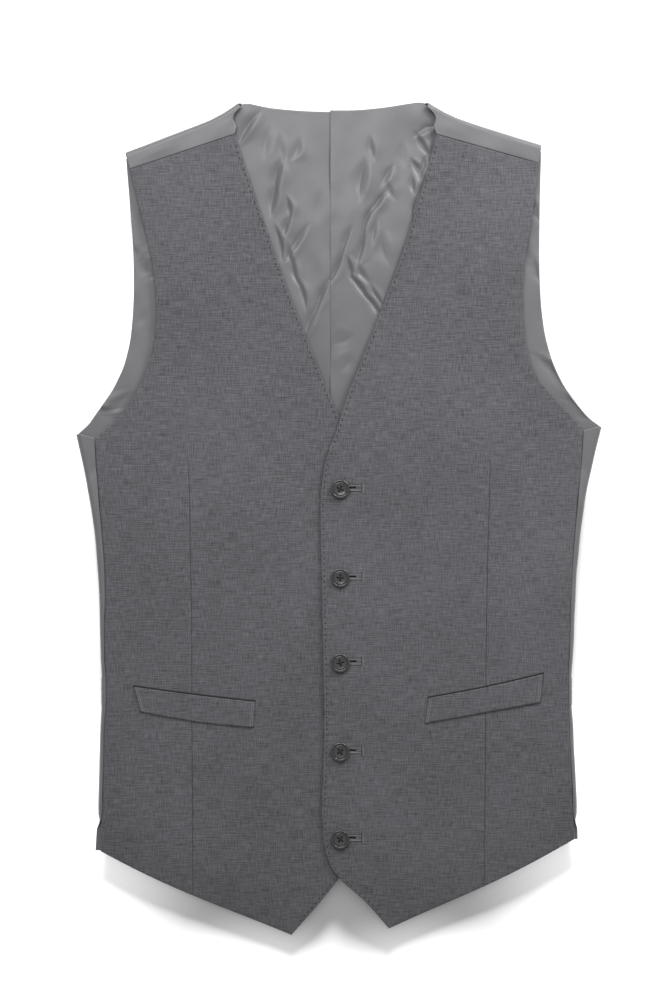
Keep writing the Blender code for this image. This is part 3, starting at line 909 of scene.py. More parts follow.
@dataclass
class Outline:
    """The four smooth edges of a panel that is shown flat."""

    solid: Solid
    split: tuple | None = None  # direction of the corner part-way up the outer edge
    step: float = 2.0
    ease: int = 22
    inner: np.ndarray = field(init=False)
    outer: np.ndarray = field(init=False)
    low: np.ndarray = field(init=False)
    high: np.ndarray = field(init=False)
    side: np.ndarray = field(init=False)  # the outer edge from the hem to the corner
    split_share: float = field(init=False, default=0.0)

    def __post_init__(self) -> None:
        """Measures the edges from the solid."""
        low_inner, low_outer = self.solid.corner(-0.1, -1), self.solid.corner(1, -1)
        high_inner, high_outer = self.solid.corner(-1, 1), self.solid.corner(1, 1)
        self.inner = self.edge(1, low_inner, high_inner, -1)
        self.low = self.edge(0, low_inner, low_outer, -1)
        self.high = self.edge(0, high_inner, high_outer, 1)
        if self.split:
            corner = self.solid.corner(*self.split)
            self.side = self.edge(1, low_outer, corner, 1)
            upper = self.edge(1, corner, high_outer, 1)
            self.split_share = length_of(self.side) / (length_of(self.side) + length_of(upper))
            self.outer = np.concatenate([self.side, upper[1:]])
        else:
            self.outer = self.edge(1, low_outer, high_outer, 1)

    def edge(self, axis: int, start: np.ndarray, end: np.ndarray, sign: int) -> np.ndarray:
        """One edge between two corners, measured in slices and eased."""
        span = abs(end[axis] - start[axis])
        places = np.linspace(start[axis], end[axis], max(3, round(span / self.step)) + 1)[1:-1]
        if len(places) < 2 or span < 2 * self.step:
            return np.array([start, (start + end) / 2, end])
        reach = self.solid.reach(axis, places, sign)
        pairs = (places, reach) if axis == 0 else (reach, places)
        line = np.concatenate([[start], np.stack(pairs, axis=-1), [end]])
        return eased(line, self.step, self.ease)

    def grid(self, step: float, across: tuple = (), upward: tuple = ()) -> np.ndarray:
        """A grid of (out, y) over the panel.

        Args:
            step: Distance between rows and columns.
            across: Zones of denser columns.
            upward: Zones of denser rows.

        Returns:
            The grid, with a row through the outer edge's corner.
        """
        u = stations(max(length_of(self.low), 1.0), step, across)
        v = stations(length_of(self.outer), step, upward)
        if self.split:
            v[np.argmin(np.abs(v - self.split_share))] = self.split_share
        return patch(along(self.inner, v), along(self.outer, v), along(self.low, u),
                     along(self.high, u), u, v)

    def top(self, places: np.ndarray, inset: float, passes: int) -> np.ndarray:
        """Height of the solid's top over a grid, with its facets smoothed away.

        Args:
            places: Grid of (out, y).
            inset: Share by which the grid is drawn in, so that its edges meet the solid.
            passes: How often the heights are smoothed.

        Returns:
            The heights.
        """
        drawn_in = places + (places.mean(axis=(0, 1)) - places) * inset
        return relaxed(filled(self.solid.height(drawn_in)), passes)


@dataclass
class Front:
    """One wool front, with its dart, welt pocket and hand stitching."""

    label: str
    side: int
    finish: bpy.types.Material
    dart: tuple  # (out, y) from the dart's point to the hem
    hollows: tuple  # soft creases of the laid cloth
    flat: tuple  # the cut cloth's width and length
    area: float
    seed: int
    step: float = 2.7
    wall: float = 2.0
    slits: tuple = ()  # (x, y) of the buttons that the front is slit for
    edge_lift: float = 0.0  # how far its closing edge stands off the cloth below
    edge_turn: float = 3.5  # how far in from its closing edge that lift reaches
    fold_inset: float = 2.6  # how far inside the back's fold its side edge is, below the waist
    waist_fade: tuple = (-95, -40)  # heights where the side edge is and isn't drawn out
    vent_fade: tuple = (-215, -240)  # the same above the vent
    dart_depth: float = 0.8
    dart_width: float = 0.5
    dart_lead: float = 14.0  # how far above its point the dart begins to draw the cloth in
    dart_run: float = 40.0  # how far it takes to reach its full depth
    pucker: float = 0.25  # how much the seam's depth varies
    pucker_waves: tuple = (7.3, 31)  # lengths of the two waves that it comes from
    swell: float = 0.16  # height of the soft ridge beside the seam
    swell_off: float = 2.6
    swell_width: float = 2.2
    solid: Solid = field(init=False)
    outline: Outline = field(init=False)
    mesh: bpy.types.Mesh = field(init=False)
    surface: Solid = field(init=False)

    def __post_init__(self) -> None:
        """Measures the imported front."""
        self.solid = solid_of("front_" + self.label, self.side)
        self.outline = Outline(self.solid, split=(1.0, 0.03))
        self.draw_out(self.outline.side)
        self.draw_out(self.outline.outer)

    def draw_out(self, edge: np.ndarray) -> None:
        """Moves the side edge below the waist close to the back's fold, in place."""
        back = solid_of("back_" + self.label, self.side)
        y = edge[:, 1]
        reach = back.reach(1, np.clip(y, back.low[1] + 0.5, back.high[1] - 0.5))
        gap = np.maximum(reach - self.fold_inset - edge[:, 0], 0.0)
        edge[:, 0] += gap * fade(y, *self.waist_fade) * fade(y, *self.vent_fade)

    def dart_height(self, out: np.ndarray, y: np.ndarray) -> np.ndarray:
        """How far the dart's seam draws the cloth in."""
        line = np.array(self.dart)
        middle = np.interp(y, line[::-1, 1], line[::-1, 0])
        off = out - middle
        depth = smooth((line[0, 1] + self.dart_lead - y) / self.dart_run)
        short, long = (np.sin(y * math.tau / wave) for wave in self.pucker_waves)
        pucker = 1 + self.pucker * short * long
        seam = np.exp(-(off / self.dart_width) ** 2) * self.dart_depth * pucker
        swell = self.swell * np.exp(-((off - self.swell_off) / self.swell_width) ** 2)
        return depth * (swell - seam)

    def follow_dart(self, places: np.ndarray, reach: float = 30.0) -> None:
        """Slides the close columns of the grid sideways onto the dart's seam.

        Args:
            places: Grid of (out, y), changed in place.
            reach: How far beside the seam the columns slide with it.
        """
        line = np.array(self.dart)
        aim = np.interp(places[..., 1], line[::-1, 1], line[::-1, 0])
        column = int(np.argmin(np.abs(places[0, :, 0] - aim[0])))
        off = places[:, column, 0][:, None]
        slide = aim[:, column][:, None] - off
        near = np.exp(-((places[..., 0] - off) / reach) ** 2)
        point = line[0, 1]
        places[..., 0] += slide * near * fade(places[..., 1], point + 15, point + 110)

    def build(self) -> bpy.types.Object:
        """Makes the front's cloth."""
        samples = np.linspace(0, 1, 801)
        off_seam = np.abs(along(self.outline.low, samples)[:, 0] - self.dart[-1][0])
        seam = samples[np.argmin(off_seam)]
        places = self.outline.grid(self.step, across=((seam - 0.02, seam + 0.02, 7.0),))
        self.follow_dart(places)
        z = self.outline.top(places, inset=0.004, passes=40) - self.wall / 2
        out, y = places[..., 0], places[..., 1]
        z = z + self.dart_height(out, y) + creased(self.hollows, out, y)
        z = z + ripples(out, y, size=95, height=0.16, seed=self.seed)
        z = z + ripples(out, y, size=34, height=0.05, seed=self.seed + 1)
        lapped = fade(y, 40, 90)
        z = z + self.edge_lift * np.exp((out[:, :1] - out) / self.edge_turn) * lapped
        name = "front_" + self.label
        cut = places * (self.side, 1)
        self.mesh = shell(name, raised(places, z), self.wall, cut, self.side)
        if self.slits:
            self.mesh = cut_away(self.mesh, keyholes(self.slits))
        self.surface = Solid(self.mesh)
        return piece(name + "_cloth", self.mesh, self.finish, Cloth.WOOL, name)

    def edge_path(self, inset: float, start: float, end: float) -> np.ndarray:
        """A line on the cloth at an even distance inside its front edge.

        Args:
            inset: Distance from the edge.
            start: Share of the edge where the line starts.
            end: Share where it ends.

        Returns:
            Points of (x, y, z) on the cloth.
        """
        line = along(self.outline.inner, np.linspace(start, end, 260))
        run = np.gradient(line, axis=0)
        run /= np.linalg.norm(run, axis=1, keepdims=True)
        inside = line + np.stack([run[:, 1], -run[:, 0]], axis=-1) * inset
        return self.on_cloth(inside * (self.side, 1))

    def dart_path(self) -> np.ndarray:
        """The dart's seam as (x, y, z) points in its groove."""
        line = along(np.array(self.dart, float), np.linspace(0, 1, 240))
        return self.on_cloth(line * (self.side, 1), 0.0)

    def on_cloth(self, places: np.ndarray, above: float = 0.05) -> np.ndarray:
        """Places of (x, y) lifted onto the cloth."""
        return self.surface.lifted(places, above)


@dataclass
class Welt:
    """A pocket's welt, laid on its front, with the stitching that holds its ends and painted shadows.
    """

    front: Front
    finish: bpy.types.Material
    thread: bpy.types.Material
    # thread that paints the shadow lines
    dark: bpy.types.Material
    wall: float = 1.2
    step: float = 1.6
    top_dip: float = 0.4  # how far its top edge sinks towards the front
    low_dip: float = 1.15  # and its lower edge
    end_stitch_insets: tuple = (1.2, 2.6)  # how far inside each end a line of stitches is

    def build(self, stitches: StitchRow) -> bpy.types.Object:
        """Makes the welt's cloth, the stitch lines at its ends and the painted shadow lines beside
        it.

        Args:
            stitches: What sews a row of stitches.

        Returns:
            The welt.
        """
        front = self.front
        name = "welt_" + front.label
        solid = solid_of(name, front.side)
        outline = Outline(solid, step=1.0, ease=6)
        places = outline.grid(self.step)
        z = outline.top(places, inset=0.02, passes=12) - self.wall / 2
        z = z + ripples(places[..., 0], places[..., 1], size=30, height=0.08, seed=front.seed + 7)
        v = np.linspace(0, 1, places.shape[0])[:, None]
        z = z - self.low_dip * fade(v, 0.0, 0.09) - self.top_dip * fade(1 - v, 0.0, 0.05)
        mesh = shell(name, raised(places, z), self.wall, places * (front.side, 1), front.side)
        made = piece(name + "_cloth", mesh, self.finish, Cloth.WOOL, name)
        surface = Solid(mesh)
        paths = []
        for end in (outline.inner, outline.outer):
            inward = np.sign(places[..., 0].mean() - end[:, 0].mean())
            for inset in self.end_stitch_insets:
                line = along(end, np.linspace(0.04, 0.96, 24)) + (inward * inset, 0)
                paths.append(surface.lifted(line * (front.side, 1), 0.04))
        stitches.sew(f"welt_{front.label}_stitches", paths, self.thread, Cloth.THREAD,
                     spacing=1.15, length=1.0, width=0.44, rise=0.3)
        # Near-black rows at the top and lower edges: painted shadow of the pocket's mouth and under
        # the welt.
        shadows = (("mouth_shadow", outline.high, 0.8, 1.8), ("foot_shadow", outline.low, -0.2, 0.5))
        for label, edge, above, width in shadows:
            path = along(edge, np.linspace(0.0, 1.0, 60)) * (front.side, 1) + (0, above)
            stitches.sew(f"welt_{front.label}_{label}", [front.on_cloth(path, 0.0)], self.dark,
                         Cloth.THREAD, spacing=0.9, length=1.3, width=width, rise=width)
        return made


# ------------------------------------------------------------------- the back, round the body


@dataclass
class BackHalf:
    """One half of the satin back, which rolls forward at the side and over the shoulder."""

    label: str
    side: int
    front: Front
    finish: bpy.types.Material
    dents: tuple  # creases of the side and shoulder folds
    flat: tuple
    area: float
    seed: int
    wall: float = 1.0
    vent_top: float = -236.0
    vent_open: float = -249.0
    step: float = 3.0
    seam_close: float = 0.12  # gap at the shoulder seam
    ease_out: float = 0.6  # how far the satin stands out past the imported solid
    side_ease: float = 0.9  # the same at the side fold
    strap_y: float = -138.0
    strap_half: float = 18.0  # the fold runs straight past the strap, this far each way
    corner_drop: float = 3.0  # how far the top of the fold slopes down to the side seam
    drop_run: float = 40.0  # how far below the underarm that slope begins
    neck_bow: float = 4.2  # how far the shoulder's neck end bows out on its way to the seam
    lap_reach: float = 9.0  # how far along the shoulder that bow reaches
    vent_flare: float = 1.5  # how far an open vent's edge spreads
    most_past: float = 0.9  # a seam out on the roll is reached at most this far round
    least_sink: float = 0.3  # share of the roll's sinking that is left at the side seam
    sink_turns: tuple = (0.2, 1.3)  # where round the roll it fades, in radians
    flat_cells: int = 34
    neck_cells: int = 16
    roll_cells: int = 26
    arc_cells: int = 13
    solid: Solid = field(init=False)
    roll: float = field(init=False)  # radius of the side and shoulder folds, to the wall's middle
    roll_z: float = field(init=False)
    start: float = field(init=False)
    hem: float = field(init=False)
    underarm: float = field(init=False)
    fold: np.ndarray = field(init=False)
    seam: np.ndarray = field(init=False)

    def __post_init__(self) -> None:
        """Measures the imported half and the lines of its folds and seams."""
        self.solid = solid_of("back_" + self.label, self.side)
        self.roll = (self.solid.high[2] - self.solid.low[2] - self.wall) / 2
        self.roll_z = self.wall / 2 + self.roll
        self.start = self.solid.low[0]
        self.hem = self.solid.low[1]
        fold_corner = self.solid.corner(*UNDERARM)
        self.underarm = float(fold_corner[1])
        levels = np.linspace(self.hem + 0.5, self.underarm - 0.5, 170)
        levels = levels[np.abs(levels - self.strap_y) > self.strap_half]
        edge = np.column_stack([self.solid.reach(1, levels), levels])
        self.fold = eased(np.concatenate([edge, [fold_corner]]))
        self.seam = self.front.outline.side

    def fold_centre(self, y: float) -> float:
        """How far out the side roll's centre is."""
        out = float(np.interp(y, self.fold[:, 1], self.fold[:, 0])) + self.side_ease
        return out - self.wall / 2 - self.roll

    def seam_out(self, y: float) -> float:
        """How far out the side seam is."""
        above_vent = max(y, self.vent_top)
        return float(np.interp(above_vent, self.seam[:, 1], self.seam[:, 0])) + SEAM_GAP

    def wrap(self, y: float, sink: float) -> np.ndarray:
        """The path round the side, from the underside to the side seam, or a vent's flat edge.

        Args:
            y: The section's height.
            sink: How much smaller the roll is than its full radius.

        Returns:
            (out, z) points.
        """
        centre, end = self.fold_centre(y), self.seam_out(y)
        past = min(max((end - centre) / self.roll, 0.0), self.most_past)
        turns = np.linspace(0, math.pi - math.asin(past), 60)
        sunk = self.least_sink + (1 - self.least_sink) * fade(turns, *self.sink_turns)
        radius = self.roll - sink * sunk
        arc = np.column_stack([centre + radius * np.sin(turns),
                               self.roll_z - radius * np.cos(turns)])
        if end < centre:
            arc = np.concatenate([arc, [(end, arc[-1, 1])]])
        near = np.array(RIM_STEPS[:4]) / length_of(arc)
        even = np.linspace(0, 1 - near[-1], self.roll_cells - 2)[:-1]
        wrapped = along(arc, np.concatenate([even, 1 - near[::-1]]))
        if y >= self.vent_top:
            return wrapped
        edge = centre + self.roll
        edge += self.vent_flare * float(fade(y, self.vent_open, self.vent_top))
        flat = level(np.linspace(centre, edge, len(wrapped)), self.wall / 2)
        opened = float(1 - fade(y, self.vent_top, self.vent_open))
        return wrapped + (flat - wrapped) * opened

    def rows(self) -> np.ndarray:
        """Heights of the torso's rows."""
        share = stations(self.underarm - self.hem, self.step)
        return self.hem + share * (self.underarm - self.hem)

    def torso(self) -> np.ndarray:
        """The torso's grid, from the hem to the underarm."""
        rows = []
        for y in self.rows():
            centre = self.fold_centre(y)
            flat = np.linspace(self.start, centre, self.flat_cells + 1)
            flat[1:3] = self.start + SEAM_ROWS
            inset = level(np.clip(flat, self.start + 1, centre - 0.5),
                          float(np.clip(y, self.hem + 1, self.underarm - 1)))
            z = self.solid.underside(inset) + self.wall / 2
            wrapped = self.wrap(y, float(z[-1]) - self.wall / 2)
            drop = self.corner_drop * float(fade(self.underarm - y, 0, self.drop_run))
            slope = drop * smooth(np.linspace(-0.6, 1.0, len(wrapped)))
            roll = np.column_stack([wrapped[:, 0], y - slope, wrapped[:, 1]])
            rows.append(np.concatenate([raised(level(flat, y), z), roll[1:]]))
        return np.array(rows)

    def shoulder(self) -> tuple[np.ndarray, np.ndarray, np.ndarray]:
        """For each column of the shoulder: the fold's centre, its way out and the seam's point."""
        neck, arm = self.front.outline.high[0], self.front.outline.high[-1]
        top = self.solid.corner(*NECK_TIP)
        end = self.solid.corner(1.0, 1.35)
        outs = np.linspace(top[0], end[0] - 0.5, 60)
        ridge = eased(np.column_stack([outs, self.solid.reach(0, outs)]), passes=10)
        count = self.flat_cells - self.neck_cells
        between = count - 8.2  # cells left between the close rows at its two ends
        share = stations(length_of(ridge), length_of(ridge) / between)
        share = np.interp(np.linspace(0, 1, count + 1), np.linspace(0, 1, len(share)), share)
        share[:4] = np.array(RIM_STEPS[:4]) / length_of(ridge)
        share[-4:] = 1 - share[:4][::-1]
        ridge, seam = along(ridge, share), neck + (arm - neck) * share[:, None]
        outward = (ridge - seam) / np.linalg.norm(ridge - seam, axis=1, keepdims=True)
        centres = ridge - outward * (self.roll + self.wall / 2 - self.ease_out)
        return centres, outward, seam + outward * self.seam_close

    def chest(self) -> np.ndarray:
        """The flat chest's grid of (out, y), from the underarm to the neck and shoulder."""
        centres = self.shoulder()[0]
        corner = np.array((self.fold_centre(self.underarm), self.underarm))
        outs = np.linspace(self.start + 0.5, centres[0][0] - 4, 30)
        neck = np.column_stack([outs, self.solid.reach(0, outs) + neck_rise(outs, centres[0][0])])
        neck = eased(np.concatenate([[(self.start, neck[0][1])], neck]))
        neck = np.concatenate([neck, [centres[0]]])
        levels = np.linspace(self.underarm + 2.5, centres[-1][1] - 1, 90)
        arm = np.column_stack([self.solid.reach(1, levels) + self.ease_out, levels])
        arm = eased(np.concatenate([[corner], arm, [centres[-1]]]), passes=12)
        shares = np.linspace(0, 1, self.neck_cells + 1)
        shares[1:3] = SEAM_ROWS / length_of(neck)
        top = np.concatenate([along(neck, shares), centres[1:]])
        corner = corner + (self.roll - 0.6, 0.0)
        arm[0] = corner
        low = level(np.linspace(self.start, corner[0], self.flat_cells + 1), self.underarm)
        low[1:3, 0] = self.start + SEAM_ROWS
        u = np.linspace(0, 1, self.flat_cells + 1)
        v = stations(length_of(arm), self.step)
        inner = low[0] + (top[0] - low[0]) * v[:, None]
        return patch(inner, along(arm, v), low, top, u, v)[1:]

    def band(self) -> np.ndarray:
        """The shoulder's rows, over the fold and down its front to the seam."""
        centres, outward, seam = self.shoulder()
        rows = [level(centres + outward * self.roll * math.sin(turn),
                      self.roll_z - self.roll * math.cos(turn))
                for turn in np.linspace(0, math.pi, self.arc_cells + 1)[1:]]
        reach = np.linalg.norm(seam - centres, axis=1).mean()
        near = 1 - np.array(RIM_STEPS[:4])[::-1] / reach
        for share in np.concatenate([np.linspace(0, near[0], 9)[1:-1], near]):
            rows.append(level(centres + (seam - centres) * share, self.roll_z + self.roll))
        made = np.array(rows)
        run = np.linalg.norm(made[..., :2] - made[:, :1, :2], axis=-1)
        fold_top = made[self.arc_cells - 1, :1, :2]
        down = np.linalg.norm(made[:, :1, :2] - fold_top, axis=-1) / reach
        lapped = np.sin(np.pi * np.clip(down, 0, 1)) * (made[:, :1, 2] > self.roll_z + 1)
        made[..., 0] += self.neck_bow * lapped * np.exp(-run / self.lap_reach)
        return made

    def build(self) -> bpy.types.Object:
        """Makes the half's cloth."""
        torso, chest, band = self.torso(), self.chest(), self.band()
        columns = torso.shape[1]
        chest = raised(chest, np.full(chest.shape[:2], self.wall / 2))
        middle = np.full((len(torso) + len(chest) + len(band), columns, 3), np.nan)
        middle[:len(torso)] = torso
        middle[len(torso):len(torso) + len(chest), :self.flat_cells + 1] = chest
        middle[len(torso) + len(chest):, self.neck_cells:self.flat_cells + 1] = band
        cut = self.unrolled(middle)
        self.crease(middle, cut)
        name = "back_" + self.label
        mesh = shell(name, middle, self.wall, cut, self.side)
        return piece(name + "_satin", mesh, self.finish, Cloth.SATIN, name)

    def unrolled(self, middle: np.ndarray) -> np.ndarray:
        """Each point's place on the cut cloth, with the rolls laid out flat."""
        cut = middle[..., :2].copy()
        known = np.where(np.isfinite(middle), middle, 0.0)
        outward = np.linalg.norm(np.diff(known, axis=1), axis=-1)
        first = self.flat_cells
        cut[:, first + 1:, 0] = cut[:, first:first + 1, 0] + np.cumsum(outward[:, first:], axis=1)
        upward = np.linalg.norm(np.diff(known, axis=0), axis=-1)
        begin = np.argmax(middle[:, self.neck_cells, 2] > self.wall)
        cut[begin:, :, 1] = cut[begin - 1, :, 1] + np.cumsum(upward[begin - 1:], axis=0)
        return cut * (self.side, 1)

    def crease(self, middle: np.ndarray, cut: np.ndarray) -> None:
        """Lifts and sinks the rolled cloth along its creases, fading out at the seams.

        Args:
            middle: The grid, changed in place.
            cut: Each point's place on the cut cloth.
        """
        out, y = middle[..., 0], middle[..., 1]
        folded = smooth((middle[..., 2] - self.wall / 2) / (2 * self.roll))
        lift = creased(self.dents, out, y)
        lift = lift + ripples(cut[..., 0], cut[..., 1], size=26, height=0.14, seed=self.seed)
        middle[..., 2] += np.where(np.isfinite(lift), lift, 0.0) * folded
        bulge = ripples(cut[..., 1], cut[..., 0] * 0.2, size=38, height=0.22, seed=self.seed + 3)
        side_part = folded * (1 - folded) * 4
        torso_only = np.arange(middle.shape[1])[None, :] > self.flat_cells
        middle[..., 0] += np.where(torso_only & np.isfinite(bulge), bulge * side_part, 0.0)


@dataclass
class Strap:
    """One half of the waist strap, from the slide round the side fold to its seam."""

    back: BackHalf
    finish: bpy.types.Material
    wall: float = 1.0
    step: float = 2.2

    def build(self) -> bpy.types.Object:
        """Makes the strap's cloth."""
        name = "back_strap_" + self.back.label
        solid = solid_of(name, self.back.side)
        first, low, high = solid.low[0], solid.low[1], solid.high[1]
        rows = []
        for y in low + stations(high - low, self.step) * (high - low):
            centre = self.back.fold_centre(y)
            share = stations(centre - first, self.step * 2)
            outs = (first + share * (centre - first))[:-len(RIM_STEPS)]
            inset = level(np.maximum(outs, first + 0.6), float(np.clip(y, low + 0.6, high - 0.6)))
            z = solid.underside(inset) + self.wall / 2
            wrapped = self.back.wrap(y, sink=0.0)
            rows.append(np.concatenate([raised(level(outs, y), z),
                                        raised(level(wrapped[:, 0], y), wrapped[:, 1])]))
        count = min(len(row) for row in rows)
        middle = np.array([np.concatenate([row[:1], row[len(row) - count + 1:]]) for row in rows])
        cut = middle[..., :2].copy()
        outward = np.linalg.norm(np.diff(middle, axis=1), axis=-1)
        cut[:, 1:, 0] = cut[:, :1, 0] + np.cumsum(outward, axis=1)
        mesh = shell(name, middle, self.wall, cut * (self.back.side, 1), self.back.side)
        return piece(name + "_satin", mesh, self.finish, Cloth.SATIN, name)


@dataclass
class Lining:
    """One half of the back's lining, with the creases that show in the neck and armholes."""

    label: str
    side: int
    finish: bpy.types.Material
    creases: tuple  # places of (x, y), not turned with the side
    flat: tuple
    area: float
    seed: int
    wall: float = 1.0
    seam_close: float = 0.42  # how far its centre edge is drawn to the other half's
    seam_dip: float = 0.1  # how far that edge sinks
    puff: float = 2.2  # how far the loose cloth in the neck stands off the back
    tip_puff: float = 2.2  # how far it stands off in the neck's corner, inside the tip
    tip_off: tuple = (5.0, 12.0)  # how far inside and below the tip that is
    tip_spread: tuple = (11.0, 13.0)
    loose_out: tuple = (50, 100)  # places where the neck's cloth is fully loose, and isn't
    loose_low: tuple = (170, 90)
    loose_high: tuple = (235, 338)
    arm_out: tuple = (150, 130)  # the same in the armhole
    arm_low: tuple = (110, 80)
    arm_share: float = 0.6  # share of the puff in the armhole
    arm_ease: float = 0.7  # how far its edge is drawn out along the armhole
    corner_ease: float = 3.6  # how far it reaches into the underarm's corner
    edge_parts: float = 9.0  # its neck edge rises in the last one of so many parts
    least: float = 1.58  # the lowest that its middle lies, on the back
    most: float = 5.3
    mesh: bpy.types.Mesh = field(init=False)

    def build(self) -> bpy.types.Object:
        """Makes the lining's cloth."""
        name = "back_lining_" + self.label
        solid = solid_of(name, self.side)
        outline = Outline(solid, split=UNDERARM)
        places = outline.grid(4.2, across=((0.0, 0.5, 3.9),), upward=((0.6, 1.0, 3.9),))
        places[..., 0] -= self.seam_close * np.exp((solid.low[0] - places[..., 0]) / 3)
        z = outline.top(places, inset=0.006, passes=60) - self.wall / 2
        out, y = places[..., 0], places[..., 1]
        tip = solid_of("back_" + self.label, self.side).corner(*NECK_TIP)
        loose = fade(out, *self.loose_out) * fade(y, *self.loose_low) * fade(y, *self.loose_high)
        arm = fade(out, *self.arm_out) * fade(y, *self.arm_low) * self.arm_share
        from_tip = (np.stack([out, y], axis=-1) - tip + self.tip_off) / self.tip_spread
        x = out * self.side
        z = z + self.puff * np.maximum(loose, arm)
        z = z + self.tip_puff * np.exp(-(from_tip ** 2).sum(axis=-1))
        z = z + creased(self.creases, x, y)
        z = z + ripples(x * 2.4, y, size=60, height=0.6, seed=self.seed)
        z = z + ripples(x, y, size=17, height=0.07, seed=self.seed + 1)
        seam = np.exp(-((out - solid.low[0]) / 0.9) ** 2)
        z = np.clip(z - self.seam_dip * seam, self.least, self.most)
        upper = smooth(np.linspace(1 - self.edge_parts, 1, places.shape[0]))[:, None]
        places[..., 1] += upper * neck_rise(out, tip[0])
        places[..., 0] += self.arm_ease * np.exp((out - out[:, -1:]) / 6) * fade(y, 75, 60)
        corner = solid.corner(*UNDERARM)
        near = np.exp((out - corner[0]) / 9 - ((y - corner[1]) / 6) ** 2)
        places[..., 0] += self.corner_ease * near
        self.mesh = shell(name, raised(places, z), self.wall, places * (self.side, 1), self.side)
        return piece(name + "_satin", self.mesh, self.finish, Cloth.LINING, name)


# --------------------------------------------------------------------- buttons, buttonholes


def button_seats() -> tuple:
    """Each button's centre and underside as (x, y, z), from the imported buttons."""
    boxes = [[np.array(corner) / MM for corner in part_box(f"button_{k}")] for k in range(1, 6)]
    return tuple(((low[0] + high[0]) / 2, (low[1] + high[1]) / 2, low[2]) for low, high in boxes)


def prisms(outlines: list, low: float, high: float) -> bpy.types.Mesh:
    """Upright closed bodies, one for each outline of (x, y) points going anticlockwise."""
    points, faces = [], []
    for outline in outlines:
        first, count = len(points), len(outline)
        points += [(x, y, z) for z in (low, high) for x, y in outline]
        faces.append(tuple(range(first + count - 1, first - 1, -1)))
        faces.append(tuple(range(first + count, first + 2 * count)))
        for k in range(count):
            after = (k + 1) % count
            faces.append((first + k, first + after, first + count + after, first + count + k))
    mesh = bpy.data.meshes.new("cutter")
    mesh.from_pydata((np.array(points) * MM).tolist(), [], faces)
    return mesh


def keyholes(seats: tuple, radius: float = 2.2, half_slit: float = 0.6,
             reach: float = 12.6, lift: float = 0.9) -> bpy.types.Mesh:
    """The cutters of the keyhole buttonholes, round at the button and slit outwards.

    Args:
        seats: Each button's centre and underside as (x, y, z).
        radius: The round eye's.
        half_slit: Half of the slit's width.
        reach: From the button's centre to the slit's end.
        lift: How far above the button's centre the buttonhole is.

    Returns:
        The mesh of the cutters.
    """
    open_by = math.asin(half_slit / radius)
    turns = np.linspace(open_by, math.tau - open_by, 22)
    eye = np.column_stack([np.cos(turns), np.sin(turns)]) * radius
    end = np.array(((reach, -half_slit), (reach, half_slit)))
    outline = np.concatenate([eye, end])
    return prisms([outline + (seat[0], seat[1] + lift) for seat in seats], 2.0, 12.0)


@dataclass
class Buttonholes:
    """The five worked buttonholes: purled edges, the bar at the end and lines of painted shade round
    them.
    """

    front: Front
    thread: bpy.types.Material
    # thread that paints the shade lines
    dark: bpy.types.Material
    bars: bpy.types.Material
    lift: float = 0.9  # how far above the button's centre it is
    start: float = 3.0  # from the button's centre to the first stitches
    reach: float = 16.5  # and to the last
    purl_middle: float = 1.95  # from the slit's middle line to the purl's
    purl: float = 1.0  # length of a purl stitch
    outer: float = 2.8  # from the slit's middle line to the painted shade line beside the purl
    bar_out: float = 18.3  # from the button's centre to the bar
    bar_half: float = 3.6
    bar_shadow: float = 1.1  # from the bar to the painted shadow line inside it

    def build(self, stitches: StitchRow, seats: tuple) -> None:
        """Sews every buttonhole.

        Args:
            stitches: What sews a row of stitches.
            seats: Each button's centre and underside as (x, y, z).
        """
        edges, outlines, bars = [], [], []
        for x, y, _ in seats:
            for way in (-1, 1):
                for offset, found in ((self.purl_middle, edges), (self.outer, outlines)):
                    line = level(np.linspace(x + self.start, x + self.reach, 40),
                                 y + self.lift + way * offset)
                    found.append(self.front.on_cloth(line, 0.02))
            bar = np.column_stack([np.full(16, x + self.bar_out),
                                   y + self.lift + np.linspace(-self.bar_half, self.bar_half, 16)])
            bars.append(self.front.on_cloth(bar))
            outlines.append(self.front.on_cloth(bar - (self.bar_shadow, 0), 0.0))
        stitches.sew("buttonhole_purl", edges, self.thread, Cloth.THREAD,
                     spacing=0.55, length=self.purl, width=0.5, rise=0.5, turn=90)
        # Near-black rows beside each purl and inside each bar: painted shade of the grooves there.
        stitches.sew("buttonhole_shade_lines", outlines, self.dark, Cloth.THREAD,
                     spacing=0.8, length=1.0, width=0.5, rise=0.34)
        stitches.sew("buttonhole_bars", bars, self.bars, Cloth.THREAD,
                     spacing=0.5, length=0.9, width=0.46, rise=0.45, turn=90)


